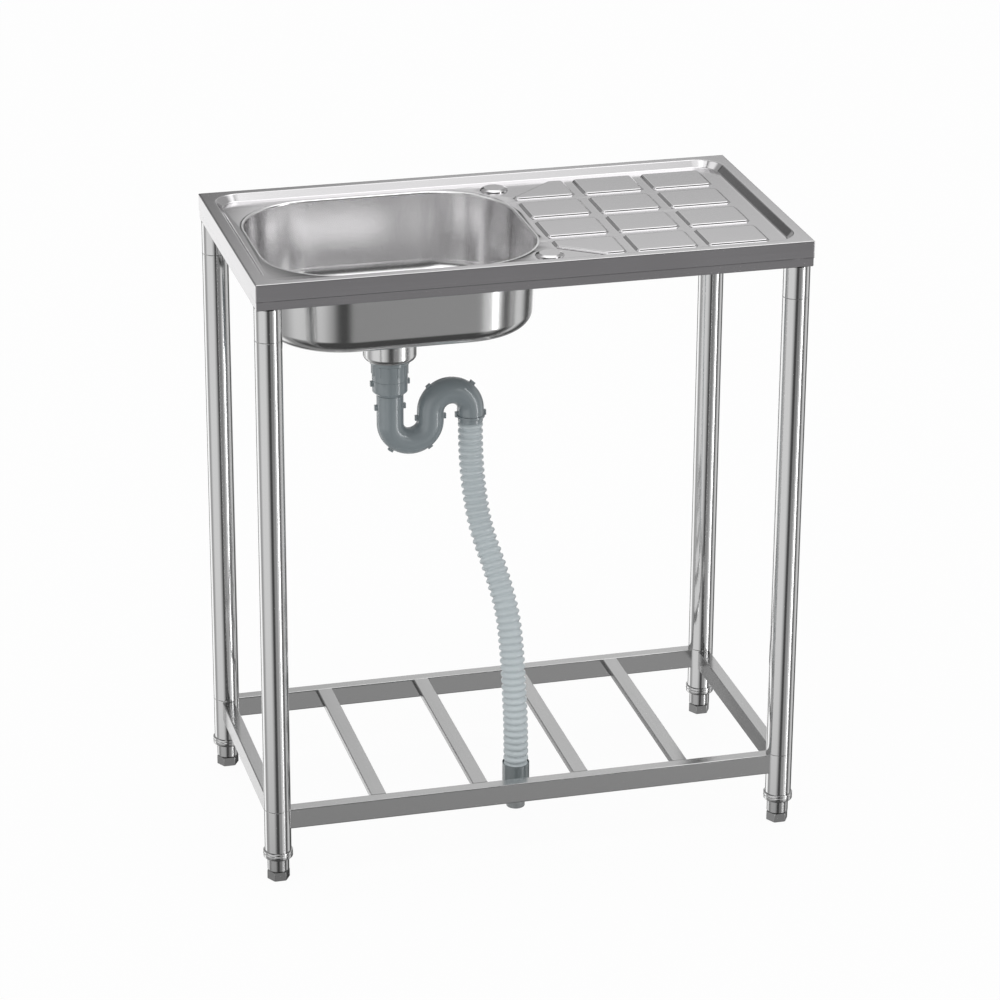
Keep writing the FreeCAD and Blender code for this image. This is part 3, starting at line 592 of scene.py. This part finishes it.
def hoseTree():  # a ribbed tube round the line that it is given
    tree, source, target = startTree("hoseRibs", {
        "Ribs": 50, "Rings per Rib": 10, "Root Radius": 0.014, "Crest Radius": 0.017, "Crest Half": 0.45,
        "Root From": 0.98, "Around": 48})
    rings = calculate(tree, "MULTIPLY", source["Ribs"], source["Rings per Rib"])
    spaced = addNode(tree, "GeometryNodeResampleCurve", {
        "Curve": source["Geometry"], "Count": calculate(tree, "ADD", rings, 1.0)})
    share = addNode(tree, "GeometryNodeSplineParameter").outputs["Factor"]
    phase = calculate(tree, "FRACT", calculate(tree, "MULTIPLY", share, source["Ribs"]))
    fromCrest = calculate(tree, "ABSOLUTE", calculate(tree, "SUBTRACT", phase, 0.5))
    fromCrest = calculate(tree, "MULTIPLY", fromCrest, 2.0)
    rise = smoothRamp(tree, fromCrest, source["Crest Half"], source["Root From"], 1.0, 0.0)
    height = calculate(tree, "SUBTRACT", source["Crest Radius"], source["Root Radius"])
    radius = calculate(tree, "ADD", source["Root Radius"], calculate(tree, "MULTIPLY", rise, height))
    circle = addNode(tree, "GeometryNodeCurvePrimitiveCircle", {"Resolution": source["Around"], "Radius": 1.0})
    skin = addNode(tree, "GeometryNodeCurveToMesh", {
        "Curve": spaced.outputs[0], "Profile Curve": circle.outputs[0], "Scale": radius})
    return closeTree(tree, skin.outputs[0], source, target)


cornerCopies = cornerTree()
blockCopies = blockTree()
slatRow = slatTree()
hoseRibs = hoseTree()


# Waste hose: its route is the same list of points as the solid's

hose = {
    "route": [
        (-0.0440, 0.0000, 0.590),
        (-0.0440, 0.0000, 0.545),
        (-0.0412, -0.0080, 0.490),
        (-0.0360, -0.0270, 0.436),
        (-0.0210, -0.0660, 0.378),
        (-0.0115, -0.0922, 0.326),
        (-0.0089, -0.1055, 0.270),
        (-0.0068, -0.1120, 0.210),
        (-0.0052, -0.1167, 0.148),
        (-0.0052, -0.1167, 0.085),
    ],
    "length": 0.5308,
    "crestRadius": 0.0179,
    "rootRadius": 0.0147,
    "crestHalf": 0.2,
    "ribs": 53,
    "ringsPerRib": 12,
    "around": 48,
    "wall": 0.0011,
}


def hoseLine():
    data = bpy.data.curves.new("hoseLine", "CURVE")
    data.dimensions = "3D"
    data.resolution_u = 24
    line = data.splines.new("NURBS")
    line.points.add(len(hose["route"]) - 1)
    for point, place in zip(line.points, hose["route"]):
        point.co = (*place, 1)
    line.order_u = 3
    line.use_endpoint_u = True
    return addObject("hoseLine", data)


def buildHose():
    line = hoseLine()
    bpy.context.view_layer.update()
    graph = bpy.context.evaluated_depsgraph_get()
    centre = bpy.data.meshes.new_from_object(line.evaluated_get(graph))
    path = [tuple(vertex.co) for vertex in centre.vertices]
    piece = bakeTree(line, hoseRibs, {
        "Ribs": hose["ribs"], "Rings per Rib": hose["ringsPerRib"], "Root Radius": hose["rootRadius"],
        "Crest Radius": hose["crestRadius"], "Crest Half": hose["crestHalf"], "Around": hose["around"],
        "Material": hoseGrey}, "wasteHose")
    smoothMesh(piece.data, 80)
    thicken(piece, "wall", hose["wall"])
    return piece, path


sleeve = {"wall": 1.0, "stopBore": 11.5, "stopLow": 81, "stopHigh": 85}
spigot = {"bore": 11.5, "radius": 13.4, "collarLow": 62}
cuff = {"bore": 10.0, "tailRadius": 12.2, "ringLow": 590, "ringHigh": 597, "ringRadius": 17.9, "neckRadius": 17.2}


def buildSleeve():
    low, high = boxMm("hose_sleeve")
    outer = (high.x - low.x) / 2
    inner, bore = outer - sleeve["wall"], sleeve["stopBore"]
    stopLow, stopHigh = sleeve["stopLow"], sleeve["stopHigh"]
    profile = filleted([
        (inner, low.z, 0.4), (outer, low.z, 0.4), (outer, high.z, 0.4), (inner, high.z, 0.4), (inner, stopHigh, 0.3),
        (bore, stopHigh, 0.5), (bore, stopLow, 0.5), (inner, stopLow, 0.3)], steps=3, closed=True)
    return turnedPiece("hoseSleeve", profile, planCentre(low, high), sleeveGrey)


def buildSpigot():
    low, high = boxMm("hose_spigot")
    collar = (high.x - low.x) / 2
    bore, radius, collarLow = spigot["bore"], spigot["radius"], spigot["collarLow"]
    profile = filleted([
        (bore, low.z, 0.5), (radius, low.z, 0.6), (radius, collarLow, 1.0), (collar, collarLow, 0.4),
        (collar, high.z, 0.4), (bore, high.z, 0.3)], steps=3, closed=True)
    return turnedPiece("hoseSpigot", profile, planCentre(low, high), spigotGrey)


def buildCuff():
    low, high = boxMm("hose_cuff")
    bore, tail, ring, neck = cuff["bore"], cuff["tailRadius"], cuff["ringRadius"], cuff["neckRadius"]
    profile = filleted([
        (bore, low.z, 0.3), (tail, low.z, 0.4), (tail, cuff["ringLow"], 0.3), (ring, cuff["ringLow"], 0.8),
        (ring, cuff["ringHigh"], 0.3), (neck, cuff["ringHigh"], 0.1), (neck, high.z, 0.4), (bore, high.z, 0.3)],
        steps=3, closed=True)
    return turnedPiece("hoseCuff", profile, planCentre(low, high), trapGrey)


wasteHose, hosePath = buildHose()
hoseSleeve = standFor(buildSleeve(), "hose_sleeve")
hoseSpigot = standFor(buildSpigot(), "hose_spigot")
standFor(buildCuff(), "hose_cuff")
standFor(wasteHose, "waste_hose")
print("hose made")


# Pressed deck

deck = {
    "sheet": 0.8,
    "rimEnd": 16.0,
    "rimFront": 14.0,
    "recessDepth": 9.5,
    "recessSlope": 8.5,
    "recessRadius": 38.0,
    "outerBend": 1.4,
    "hemInset": 0.15,
    "hemHeight": 0.8,
    "cornerRadius": 1.6,
    "rimBend": 2.2,
    "footBend": 3.0,
    "padSize": (88.0, 69.0),
    "padPitch": (102.3, 87.2),
    "padRise": 2.8,
    "padSlope": 1.7,
    "padRadius": 6.0,
    "frontCut": (60.0, 44.0),
    "backCut": (66.0, 60.0),
    "padCentreX": 192.0,
    "padBend": 2.3,
    "padSteps": 6,
    "ledgePlace": (28.5, 150.0),
    "ledgeBase": 20.0,
    "ledgeStep": (1.0, 2.2),
    "ledgeTop": 14.5,
    "ledgeRise": 4.0,
    "ledgeFootBend": 0.5,
    "ledgeBend": 0.8,
    "ledgeAround": 56,
    "land": 3.0,
    "arcSteps": 10,
    "bendSteps": 5,
    "endFacing": 0.75,
    "apronFacing": 0.9,
}

bowl = {
    "centreX": -161.0,
    "size": (383.0, 330.0),
    "depth": 118.0,
    "radius": 110.0,
    "draft": 5.0,
    "footRadius": 36.0,
    "lipRadius": 4.0,
    "land": 1.5,
    "flat": 6.0,
    "seatRadius": 60.0,
    "seatLand": 3.0,
    "seatSlope": 5.0,
    "seatDepth": 3.0,
    "seatBend": 2.0,
    "drainRadius": 44.0,
    "arcSteps": 22,
    "bendSteps": 9,
    "seatSteps": 4,
}


def rectangle(x, y, length, width):  # corners, counter-clockwise from the front left
    sides = ((-1, -1), (1, -1), (1, 1), (-1, 1))
    return [Vector((x + across * length / 2, y + along * width / 2)) for across, along in sides]


def loopAt(corners, radius, inset, z, steps):
    # The outline moved in by inset, with rounded corners; every inset gives the same number of points.
    moved = []
    for index, here in enumerate(corners):
        before = (here - corners[index - 1]).normalized()
        after = (corners[(index + 1) % len(corners)] - here).normalized()
        inward = Vector((-before.y - after.y, before.x + after.x))
        moved.append(here + inward * (inset / (1 + before.dot(after))))
    bend = max(radius - inset, 0.02)
    made = []
    for index, here in enumerate(moved):
        before = (here - moved[index - 1]).normalized()
        after = (moved[(index + 1) % len(moved)] - here).normalized()
        turn = before.angle(after)
        start = here - before * (bend * math.tan(turn / 2))
        centre = start + Vector((-before.y, before.x)) * bend
        first = math.atan2(start.y - centre.y, start.x - centre.x)
        for step in range(steps + 1):
            angle = first + turn * step / steps
            made.append(Vector((centre.x + bend * math.cos(angle), centre.y + bend * math.sin(angle), z)))
    return made


def padCorners(column, row):  # the bowl's side cuts a corner off the first and the last pad
    length, width = deck["padSize"]
    x = deck["padCentreX"] + (column - 1) * deck["padPitch"][0]
    y = (row - 1.5) * deck["padPitch"][1]
    frontLeft, frontRight, backRight, backLeft = rectangle(x, y, length, width)
    if column == 0 and row == 0:
        cutX, cutY = deck["frontCut"]
        return [frontLeft + Vector((cutX, 0)), frontRight, backRight, backLeft, frontLeft + Vector((0, cutY))]
    if column == 0 and row == 3:
        cutX, cutY = deck["backCut"]
        return [frontLeft, frontRight, backRight, backLeft + Vector((cutX, 0)), backLeft - Vector((0, cutY))]
    return [frontLeft, frontRight, backRight, backLeft]


def fillBetween(bm, outer, holes):  # flat floor between one outer loop and the loops in it
    loops = [outer] + holes
    verts = [vert for loop in loops for vert in loop]
    triangles = geometry.tessellate_polygon([[vert.co.copy() for vert in loop] for loop in loops])
    for triangle in triangles:
        corners = [verts[index] for index in triangle]
        normal = (corners[1].co - corners[0].co).cross(corners[2].co - corners[0].co)
        if normal.length < 1e-12:
            continue
        bm.faces.new(corners if normal.z > 0 else corners[::-1])


def bowlCorners():
    return rectangle(bowl["centreX"], 0, *bowl["size"])


def buildDeck():
    low, high = boxMm("sink_deck")
    top = high.z
    floor = top - deck["recessDepth"]
    steps = deck["arcSteps"]
    outer = rectangle(0, 0, high.x - low.x, high.y - low.y)
    recess = rectangle(0, 0, high.x - low.x - 2 * deck["rimEnd"], high.y - low.y - 2 * deck["rimFront"])
    land = deck["land"]
    bm = bmesh.new()
    skirt = filleted([(deck["hemInset"], low.z, 0), (0, low.z + deck["hemHeight"], 0),
                      (0, top, deck["outerBend"]), (land, top, 0)], deck["bendSteps"])
    loops = [addLoop(bm, loopAt(outer, deck["cornerRadius"], inset, z, steps)) for inset, z in skirt]
    slope = filleted([(-land, top, 0), (0, top, deck["rimBend"]), (deck["recessSlope"], floor, deck["footBend"]),
                      (deck["recessSlope"] + land, floor, 0)], deck["bendSteps"])
    loops += [addLoop(bm, loopAt(recess, deck["recessRadius"], inset, z, steps)) for inset, z in slope]
    skinLoops(bm, loops)
    lipInset = -bowl["lipRadius"] - bowl["land"]
    holes = [addLoop(bm, loopAt(bowlCorners(), bowl["radius"], lipInset, floor, bowl["arcSteps"]))]
    padTop = floor + deck["padRise"]
    padSide = filleted([(-land, floor, 0), (0, floor, deck["padBend"]), (deck["padSlope"], padTop, deck["padBend"]),
                        (deck["padSlope"] + land, padTop, 0)], deck["bendSteps"])
    for column in range(3):
        for row in range(4):
            outline = (padCorners(column, row), deck["padRadius"])
            pad = [addLoop(bm, loopAt(*outline, inset, z, deck["padSteps"])) for inset, z in padSide]
            skinLoops(bm, pad)
            bm.faces.new(pad[-1])
            holes.append(pad[0])
    base, ledgeBend, ledgeTop = deck["ledgeBase"], deck["ledgeBend"], floor + deck["ledgeRise"]
    stepIn, stepUp = deck["ledgeStep"]
    ledgeSide = filleted([(base + land, floor, 0), (base, floor, deck["ledgeFootBend"]),
                          (base - stepIn, floor + stepUp, ledgeBend), (deck["ledgeTop"], ledgeTop, ledgeBend),
                          (deck["ledgeTop"] - land, ledgeTop, 0)], deck["bendSteps"])
    x, y = deck["ledgePlace"]
    for centre in ((x, -y), (x, y)):
        rings = [addLoop(bm, circleAt(centre, radius, z, deck["ledgeAround"])) for radius, z in ledgeSide]
        skinLoops(bm, rings)
        bm.faces.new(rings[-1])
        holes.append(rings[0])
    fillBetween(bm, loops[-1], holes)
    bm.normal_update()
    for face in bm.faces:
        # faces that face front or back take the darker steel, which is painted shade; faces that face the ends take
        # the end grain
        facesEnd = abs(face.normal.x) > deck["endFacing"]
        facesFront = abs(face.normal.y) > deck["apronFacing"]
        face.material_index = 1 if facesEnd else 2 if facesFront else 0
    piece = meshFrom("deckSheet", bm, [deckSteel, deckEndSteel, apronPaintedShadeSteel], angle=50)
    thicken(piece, "sheet", deck["sheet"] * mm)
    evenNormals(piece)
    return piece


def buildBowl():
    floor = boxMm("sink_deck")[1].z - deck["recessDepth"]
    bottom = floor - bowl["depth"]
    land = bowl["land"]
    bm = bmesh.new()
    corners = bowlCorners()
    side = filleted([(-bowl["lipRadius"] - land, floor, 0), (0, floor, bowl["lipRadius"]),
                     (bowl["draft"], bottom, bowl["footRadius"]),
                     (bowl["draft"] + bowl["footRadius"] + bowl["flat"], bottom, 0)], bowl["bendSteps"])
    outlines = [loopAt(corners, bowl["radius"], inset, z, bowl["arcSteps"]) for inset, z in side]
    seat = bottom - bowl["seatDepth"]
    seatEdge, seatBend = bowl["seatRadius"], bowl["seatBend"]
    dish = filleted([(seatEdge + bowl["seatLand"], bottom, 0), (seatEdge, bottom, seatBend),
                     (seatEdge - bowl["seatSlope"], seat, seatBend), (bowl["drainRadius"], seat, 0)],
                    bowl["seatSteps"])
    angles = [math.atan2(point.y, point.x - bowl["centreX"]) for point in outlines[-1]]
    for radius, z in dish:
        outlines.append([Vector((bowl["centreX"] + radius * math.cos(a), radius * math.sin(a), z)) for a in angles])
    skinLoops(bm, [addLoop(bm, points) for points in outlines])
    # the inside takes the lighter steel, which is painted light; the outside keeps the plain tone
    piece = meshFrom("bowlShell", bm, [bowlInsidePaintedLightSteel, bowlOutside], angle=50)
    thicken(piece, "sheet", deck["sheet"] * mm).material_offset = 1
    evenNormals(piece)
    return piece


standFor(buildDeck(), "sink_deck")
standFor(buildBowl(), "sink_bowl")
print("deck and bowl made")


# Steel frame, legs, shelf and feet

legs = {"radius": 19.0, "wall": 1.5, "seamRound": 0.7, "footRound": 0.3, "around": 96}
collar = {
    "bore": 15.6,
    "beadRound": 2.2,
    "groove": (4.6, 3.9, 3.2),
    "grooveDepth": 0.9,
    "plugGap": 0.1,
    "screwBore": 6.1,
    "plate": 4,
}
slats = {"count": 4, "edge": 1.2}


def spacing(kind):  # distance between the left and right, and the front and back legs
    left, right = boxMm(kind + "_front_left"), boxMm(kind + "_front_right")
    back = boxMm(kind + "_back_left")
    return (right[0].x - left[0].x) * mm, (back[0].y - left[0].y) * mm


def legSection(kind, topRound, bottomRound):
    low, high = boxMm(kind + "_front_left")
    inner = legs["radius"] - legs["wall"]
    return filleted([(inner, low.z, 0), (legs["radius"], low.z, bottomRound), (legs["radius"], high.z, topRound),
                     (inner, high.z, 0)], 3, closed=True)


def buildCorners(name, kind, profile, material):
    carrier = turnedPiece(name + "One", profile, (0, 0), material, legs["around"])
    acrossX, acrossY = spacing(kind)
    values = {"Spacing X": acrossX, "Spacing Y": acrossY, "Material": material}
    piece = bakeTree(carrier, cornerCopies, values, name)
    smoothMesh(piece.data)
    evenNormals(piece)
    return standFor(piece, *[kind + "_" + corner for corner in cornerNames])


def buildCollar():
    low, high = boxMm("foot_collar_front_left")
    bead = (high.x - low.x) / 2
    seat = boxMm("shelf_corner_front_left")[0].z
    inner = legs["radius"] - legs["wall"] - collar["plugGap"]
    bore, screwBore, plateLow = collar["bore"], collar["screwBore"], high.z - collar["plate"]
    grooveLow, groove, grooveHigh = (seat - drop for drop in collar["groove"])
    return filleted([
        (bore, low.z, 0.4), (bead, low.z, collar["beadRound"]), (bead, grooveLow, 0.3),
        (bead - collar["grooveDepth"], groove, 0.3), (bead, grooveHigh, 0.3), (bead, seat, 0.8), (inner, seat, 0),
        (inner, high.z, 0.4), (screwBore, high.z, 0.3), (screwBore, plateLow, 0.3), (bore, plateLow, 0.3)],
        3, closed=True)


def dress(node, material, edge=0.0, angle=35):
    standFor(softenedCopy(node + "_dressed", node, material, edge, angle), node)


seam = legs["seamRound"]
buildCorners("legSockets", "leg_socket", legSection("leg_socket", 0, seam), tubeSteel)
buildCorners("legTubes", "leg_tube", legSection("leg_tube", seam, seam), tubeSteel)
buildCorners("shelfCorners", "shelf_corner", legSection("shelf_corner", seam, legs["footRound"]), tubeSteel)
buildCorners("footCollars", "foot_collar", buildCollar(), footSteel)
for corner in cornerNames:
    dress("foot_" + corner, hexagonSteel, angle=20)
# the front and back top rails take the darker steel, painted shade
for kind, longSteel, endSteel, edge in (
        ("top_rail_", apronPaintedShadeSteel, apronEndSteel, 0.7), ("shelf_rail_", railSteel, railEndSteel, 0.0)):
    for side, material in (("front", longSteel), ("back", longSteel), ("left", endSteel), ("right", endSteel)):
        dress(kind + side, material, edge)
standFor(softenedCopy("drainerBrace", "drainer_brace", braceSteel, edge=0.5), "drainer_brace")


def buildSlats():
    low, high = boxMm("shelf_slat_1")
    pitch = boxMm("shelf_slat_2")[0].x - low.x
    size = (high - low) * mm
    carrier = addObject("slatCarrier", bpy.data.meshes.new("slatCarrier"))
    piece = bakeTree(carrier, slatRow, {
        "Count": slats["count"], "Pitch": pitch * mm, "Length": size.y, "Width": size.x, "Thickness": size.z,
        "Edge Radius": slats["edge"] * mm, "First Place": (low + high) / 2 * mm, "Material": slatSteel}, "shelfSlats")
    smoothMesh(piece.data)
    evenNormals(piece)
    return standFor(piece, "shelf_slat_1", "shelf_slat_2", "shelf_slat_3", "shelf_slat_4")


buildSlats()
print("frame, legs and shelf made")


# Drain, basket and trap

trap = {
    "centreX": -161.0,
    "pitch": 58.5,
    "radius": 19.3,
    "wall": 2.0,
    "lowBend": 597.5,
    "highBend": 609.7,
    "bellFoot": 641.1,
    "bellRadius": 25.2,
    "bellLow": 647.0,
    "bellTop": 664.5,
    "threadRadius": 22.5,
    "threadTop": 678,
    "bellOverlap": 0.5,
    "outletDrop": 11,
    "outletRadius": 20.7,
    "outletHeight": 3.5,
    "lugSize": (4.4, 5.0, 8.0),
    "lugEdge": 0.6,
    "lugReach": 1.2,
    "lugBelowBell": 5.5,
    "lugAboveBend": 4,
    "lowLugs": (-125, -55),
    "highLugs": (50, 130),
    "around": 64,
    "bendSteps": 28,
}

nut = {
    "radius": 25.6,
    "bore": 22.6,
    "shoulderRadius": 18.6,
    "shoulder": 684,
    "ringRadius": 28.4,
    "ringHeight": 6.0,
    "ringSlope": 1.2,
    "ribs": 12,
    "ribSize": (1.6, 3.0, 15.0),
    "ribFoot": 8,
    "ribEdge": 0.5,
}

cup = {
    "radius": 37.4,
    "wall": 1.0,
    "brimRadius": 48.0,
    "floor": 695,
    "footBend": 8.0,
    "neckRadius": 18.5,
    "neckLow": 684,
    "threadRadius": 22.0,
    "bore": 16.0,
}


def buildCup():
    low, high = boxMm("drain_cup")
    inner, outer, under = cup["radius"], cup["radius"] + cup["wall"], cup["floor"] - cup["wall"]
    brim, brimLow, neck = cup["brimRadius"], high.z - cup["wall"], cup["neckRadius"]
    profile = filleted([
        (inner, high.z, 0), (brim, high.z, 0.4), (brim, brimLow, 0.4), (outer, brimLow, 0.8),
        (outer, under, cup["footBend"] + cup["wall"]), (neck, under, 0), (neck, cup["neckLow"], 0),
        (cup["threadRadius"], cup["neckLow"], 0.4), (cup["threadRadius"], low.z, 0.4), (cup["bore"], low.z, 0.4),
        (cup["bore"], cup["floor"], 0), (inner, cup["floor"], cup["footBend"])], 6, closed=True)
    return turnedPiece("drainCup", profile, (trap["centreX"], 0), chromeSteel)


def trapOutlet():  # where the trap's pipe ends, round the neck of the hose cuff
    return trap["centreX"] + 2 * trap["pitch"], boxMm("hose_cuff")[1].z - trap["outletDrop"]


def pipeRings():  # centre and direction along the trap's S
    half = trap["pitch"] / 2
    stations = [((trap["centreX"], trap["bellFoot"]), (0, -1))]
    for number, (height, side) in enumerate(((trap["lowBend"], -1), (trap["highBend"], 1))):
        middle = trap["centreX"] + number * trap["pitch"] + half
        for step in range(trap["bendSteps"] + 1):
            a = math.pi * step / trap["bendSteps"]
            place = (middle - half * math.cos(a), height + side * half * math.sin(a))
            stations.append((place, (math.sin(a), side * math.cos(a))))
    stations.append((trapOutlet(), (0, -1)))
    return stations


def addPipe(bm, radius):
    rings = []
    for (x, z), (dx, dz) in pipeRings():
        across = Vector((dz, 0, -dx))
        ring = []
        for step in range(trap["around"]):
            angle = 2 * math.pi * step / trap["around"]
            reach = across * math.cos(angle) + Vector((0, 1, 0)) * math.sin(angle)
            ring.append(Vector((x, 0, z)) + reach * radius)
        rings.append(addLoop(bm, ring))
    return rings


def buildTrap():
    bm = bmesh.new()
    bore = trap["radius"] - trap["wall"]
    outer = addPipe(bm, trap["radius"])
    inner = addPipe(bm, bore)
    skinLoops(bm, outer + inner[::-1] + outer[:1])
    standFor(meshFrom("trapBody", bm, trapGrey), "trap_body")
    thread, threadTop = trap["threadRadius"], trap["threadTop"]
    bell = turnedPiece("trapBell", filleted([
        (trap["radius"] - trap["bellOverlap"], trap["bellFoot"], 0), (trap["bellRadius"], trap["bellLow"], 2.0),
        (trap["bellRadius"], trap["bellTop"], 0.8), (thread, trap["bellTop"], 0.2), (thread, threadTop, 0.4),
        (bore, threadTop, 0.4), (bore, trap["bellFoot"], 0)], 4, closed=True), (trap["centreX"], 0), trapGrey)
    outletX, outletLow = trapOutlet()
    outletTop = outletLow + trap["outletHeight"]
    ring = turnedPiece("trapOutletRing", filleted([
        (bore, outletLow, 0), (trap["outletRadius"], outletLow, 0.6), (trap["outletRadius"], outletTop, 0.6),
        (bore, outletTop, 0)], 3, closed=True), (outletX, 0), trapGrey)
    for part in (bell, ring):
        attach(part, "root")


def blocksAt(name, places, size, material, edge):
    mesh = bpy.data.meshes.new(name + "Points")
    mesh.from_pydata([tuple(Vector(place) * mm) for place, turn in places], [], [])
    turns = mesh.attributes.new("turn", "FLOAT_VECTOR", "POINT")
    for index, (place, turn) in enumerate(places):
        turns.data[index].vector = turn
    piece = bakeTree(addObject(name + "Carrier", mesh), blockCopies,
                     {"Block Size": Vector(size) * mm, "Material": material}, name)
    bevel = piece.modifiers.new("moulded", "BEVEL")
    bevel.width = edge * mm
    bevel.segments = 3
    smoothMesh(piece.data, 80)
    evenNormals(piece)
    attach(piece, "root")


def buildLugs():
    x, pitch, reach = trap["centreX"], trap["pitch"], trap["lugReach"]
    places = []

    def lug(px, pz, degrees):
        angle = math.radians(degrees)
        places.append(((px + reach * math.cos(angle), 0, pz + reach * math.sin(angle)), (0, -angle, 0)))

    radius, lowBend = trap["radius"], trap["lowBend"]
    aboveBend = lowBend + trap["lugAboveBend"]
    runs = [(x, trap["bellRadius"], trap["bellTop"] - trap["lugBelowBell"]),
            (x, radius, (trap["bellLow"] + lowBend) / 2), (x + pitch, radius, aboveBend),
            (x + 2 * pitch, radius, aboveBend)]
    for runX, runRadius, runZ in runs:
        lug(runX - runRadius, runZ, 180)
        lug(runX + runRadius, runZ, 0)
    outer = pitch / 2 + radius
    bends = [(x + pitch / 2, lowBend, trap["lowLugs"]), (x + 1.5 * pitch, trap["highBend"], trap["highLugs"])]
    for middle, height, turns in bends:
        for degrees in turns:
            a = math.radians(degrees)
            lug(middle + outer * math.cos(a), height + outer * math.sin(a), degrees)
    blocksAt("trapLugs", places, trap["lugSize"], trapGrey, trap["lugEdge"])


def buildNut():
    low, high = boxMm("trap_nut")
    ringLow = high.z - nut["ringHeight"]
    radius, ring, bore, neck = nut["radius"], nut["ringRadius"], nut["bore"], nut["shoulderRadius"]
    profile = filleted([
        (bore, low.z, 0.3), (radius, low.z, 0.8), (radius, ringLow, 0.8), (ring, ringLow + nut["ringSlope"], 0.6),
        (ring, high.z, 0.8), (neck, high.z, 0.3), (neck, nut["shoulder"], 0), (bore, nut["shoulder"], 0)],
        4, closed=True)
    standFor(turnedPiece("trapNut", profile, (trap["centreX"], 0), trapGrey), "trap_nut")
    places = []
    height = low.z + nut["ribFoot"] + nut["ribSize"][2] / 2
    for number in range(nut["ribs"]):
        a = 2 * math.pi * (number + 0.5) / nut["ribs"]
        place = (trap["centreX"] + radius * math.cos(a), radius * math.sin(a), height)
        places.append((place, (0, 0, a)))
    blocksAt("nutRibs", places, nut["ribSize"], trapGrey, nut["ribEdge"])


standFor(buildCup(), "drain_cup")
standFor(softenedCopy("drainFlange", "drain_flange", chromeSteel), "drain_flange")
standFor(softenedCopy("strainerBasket", "strainer_basket", chromeSteel), "strainer_basket")
standFor(softenedCopy("basketKnob", "basket_knob", chromeSteel), "basket_knob")
buildNut()
buildTrap()
buildLugs()
print("drain and trap made")
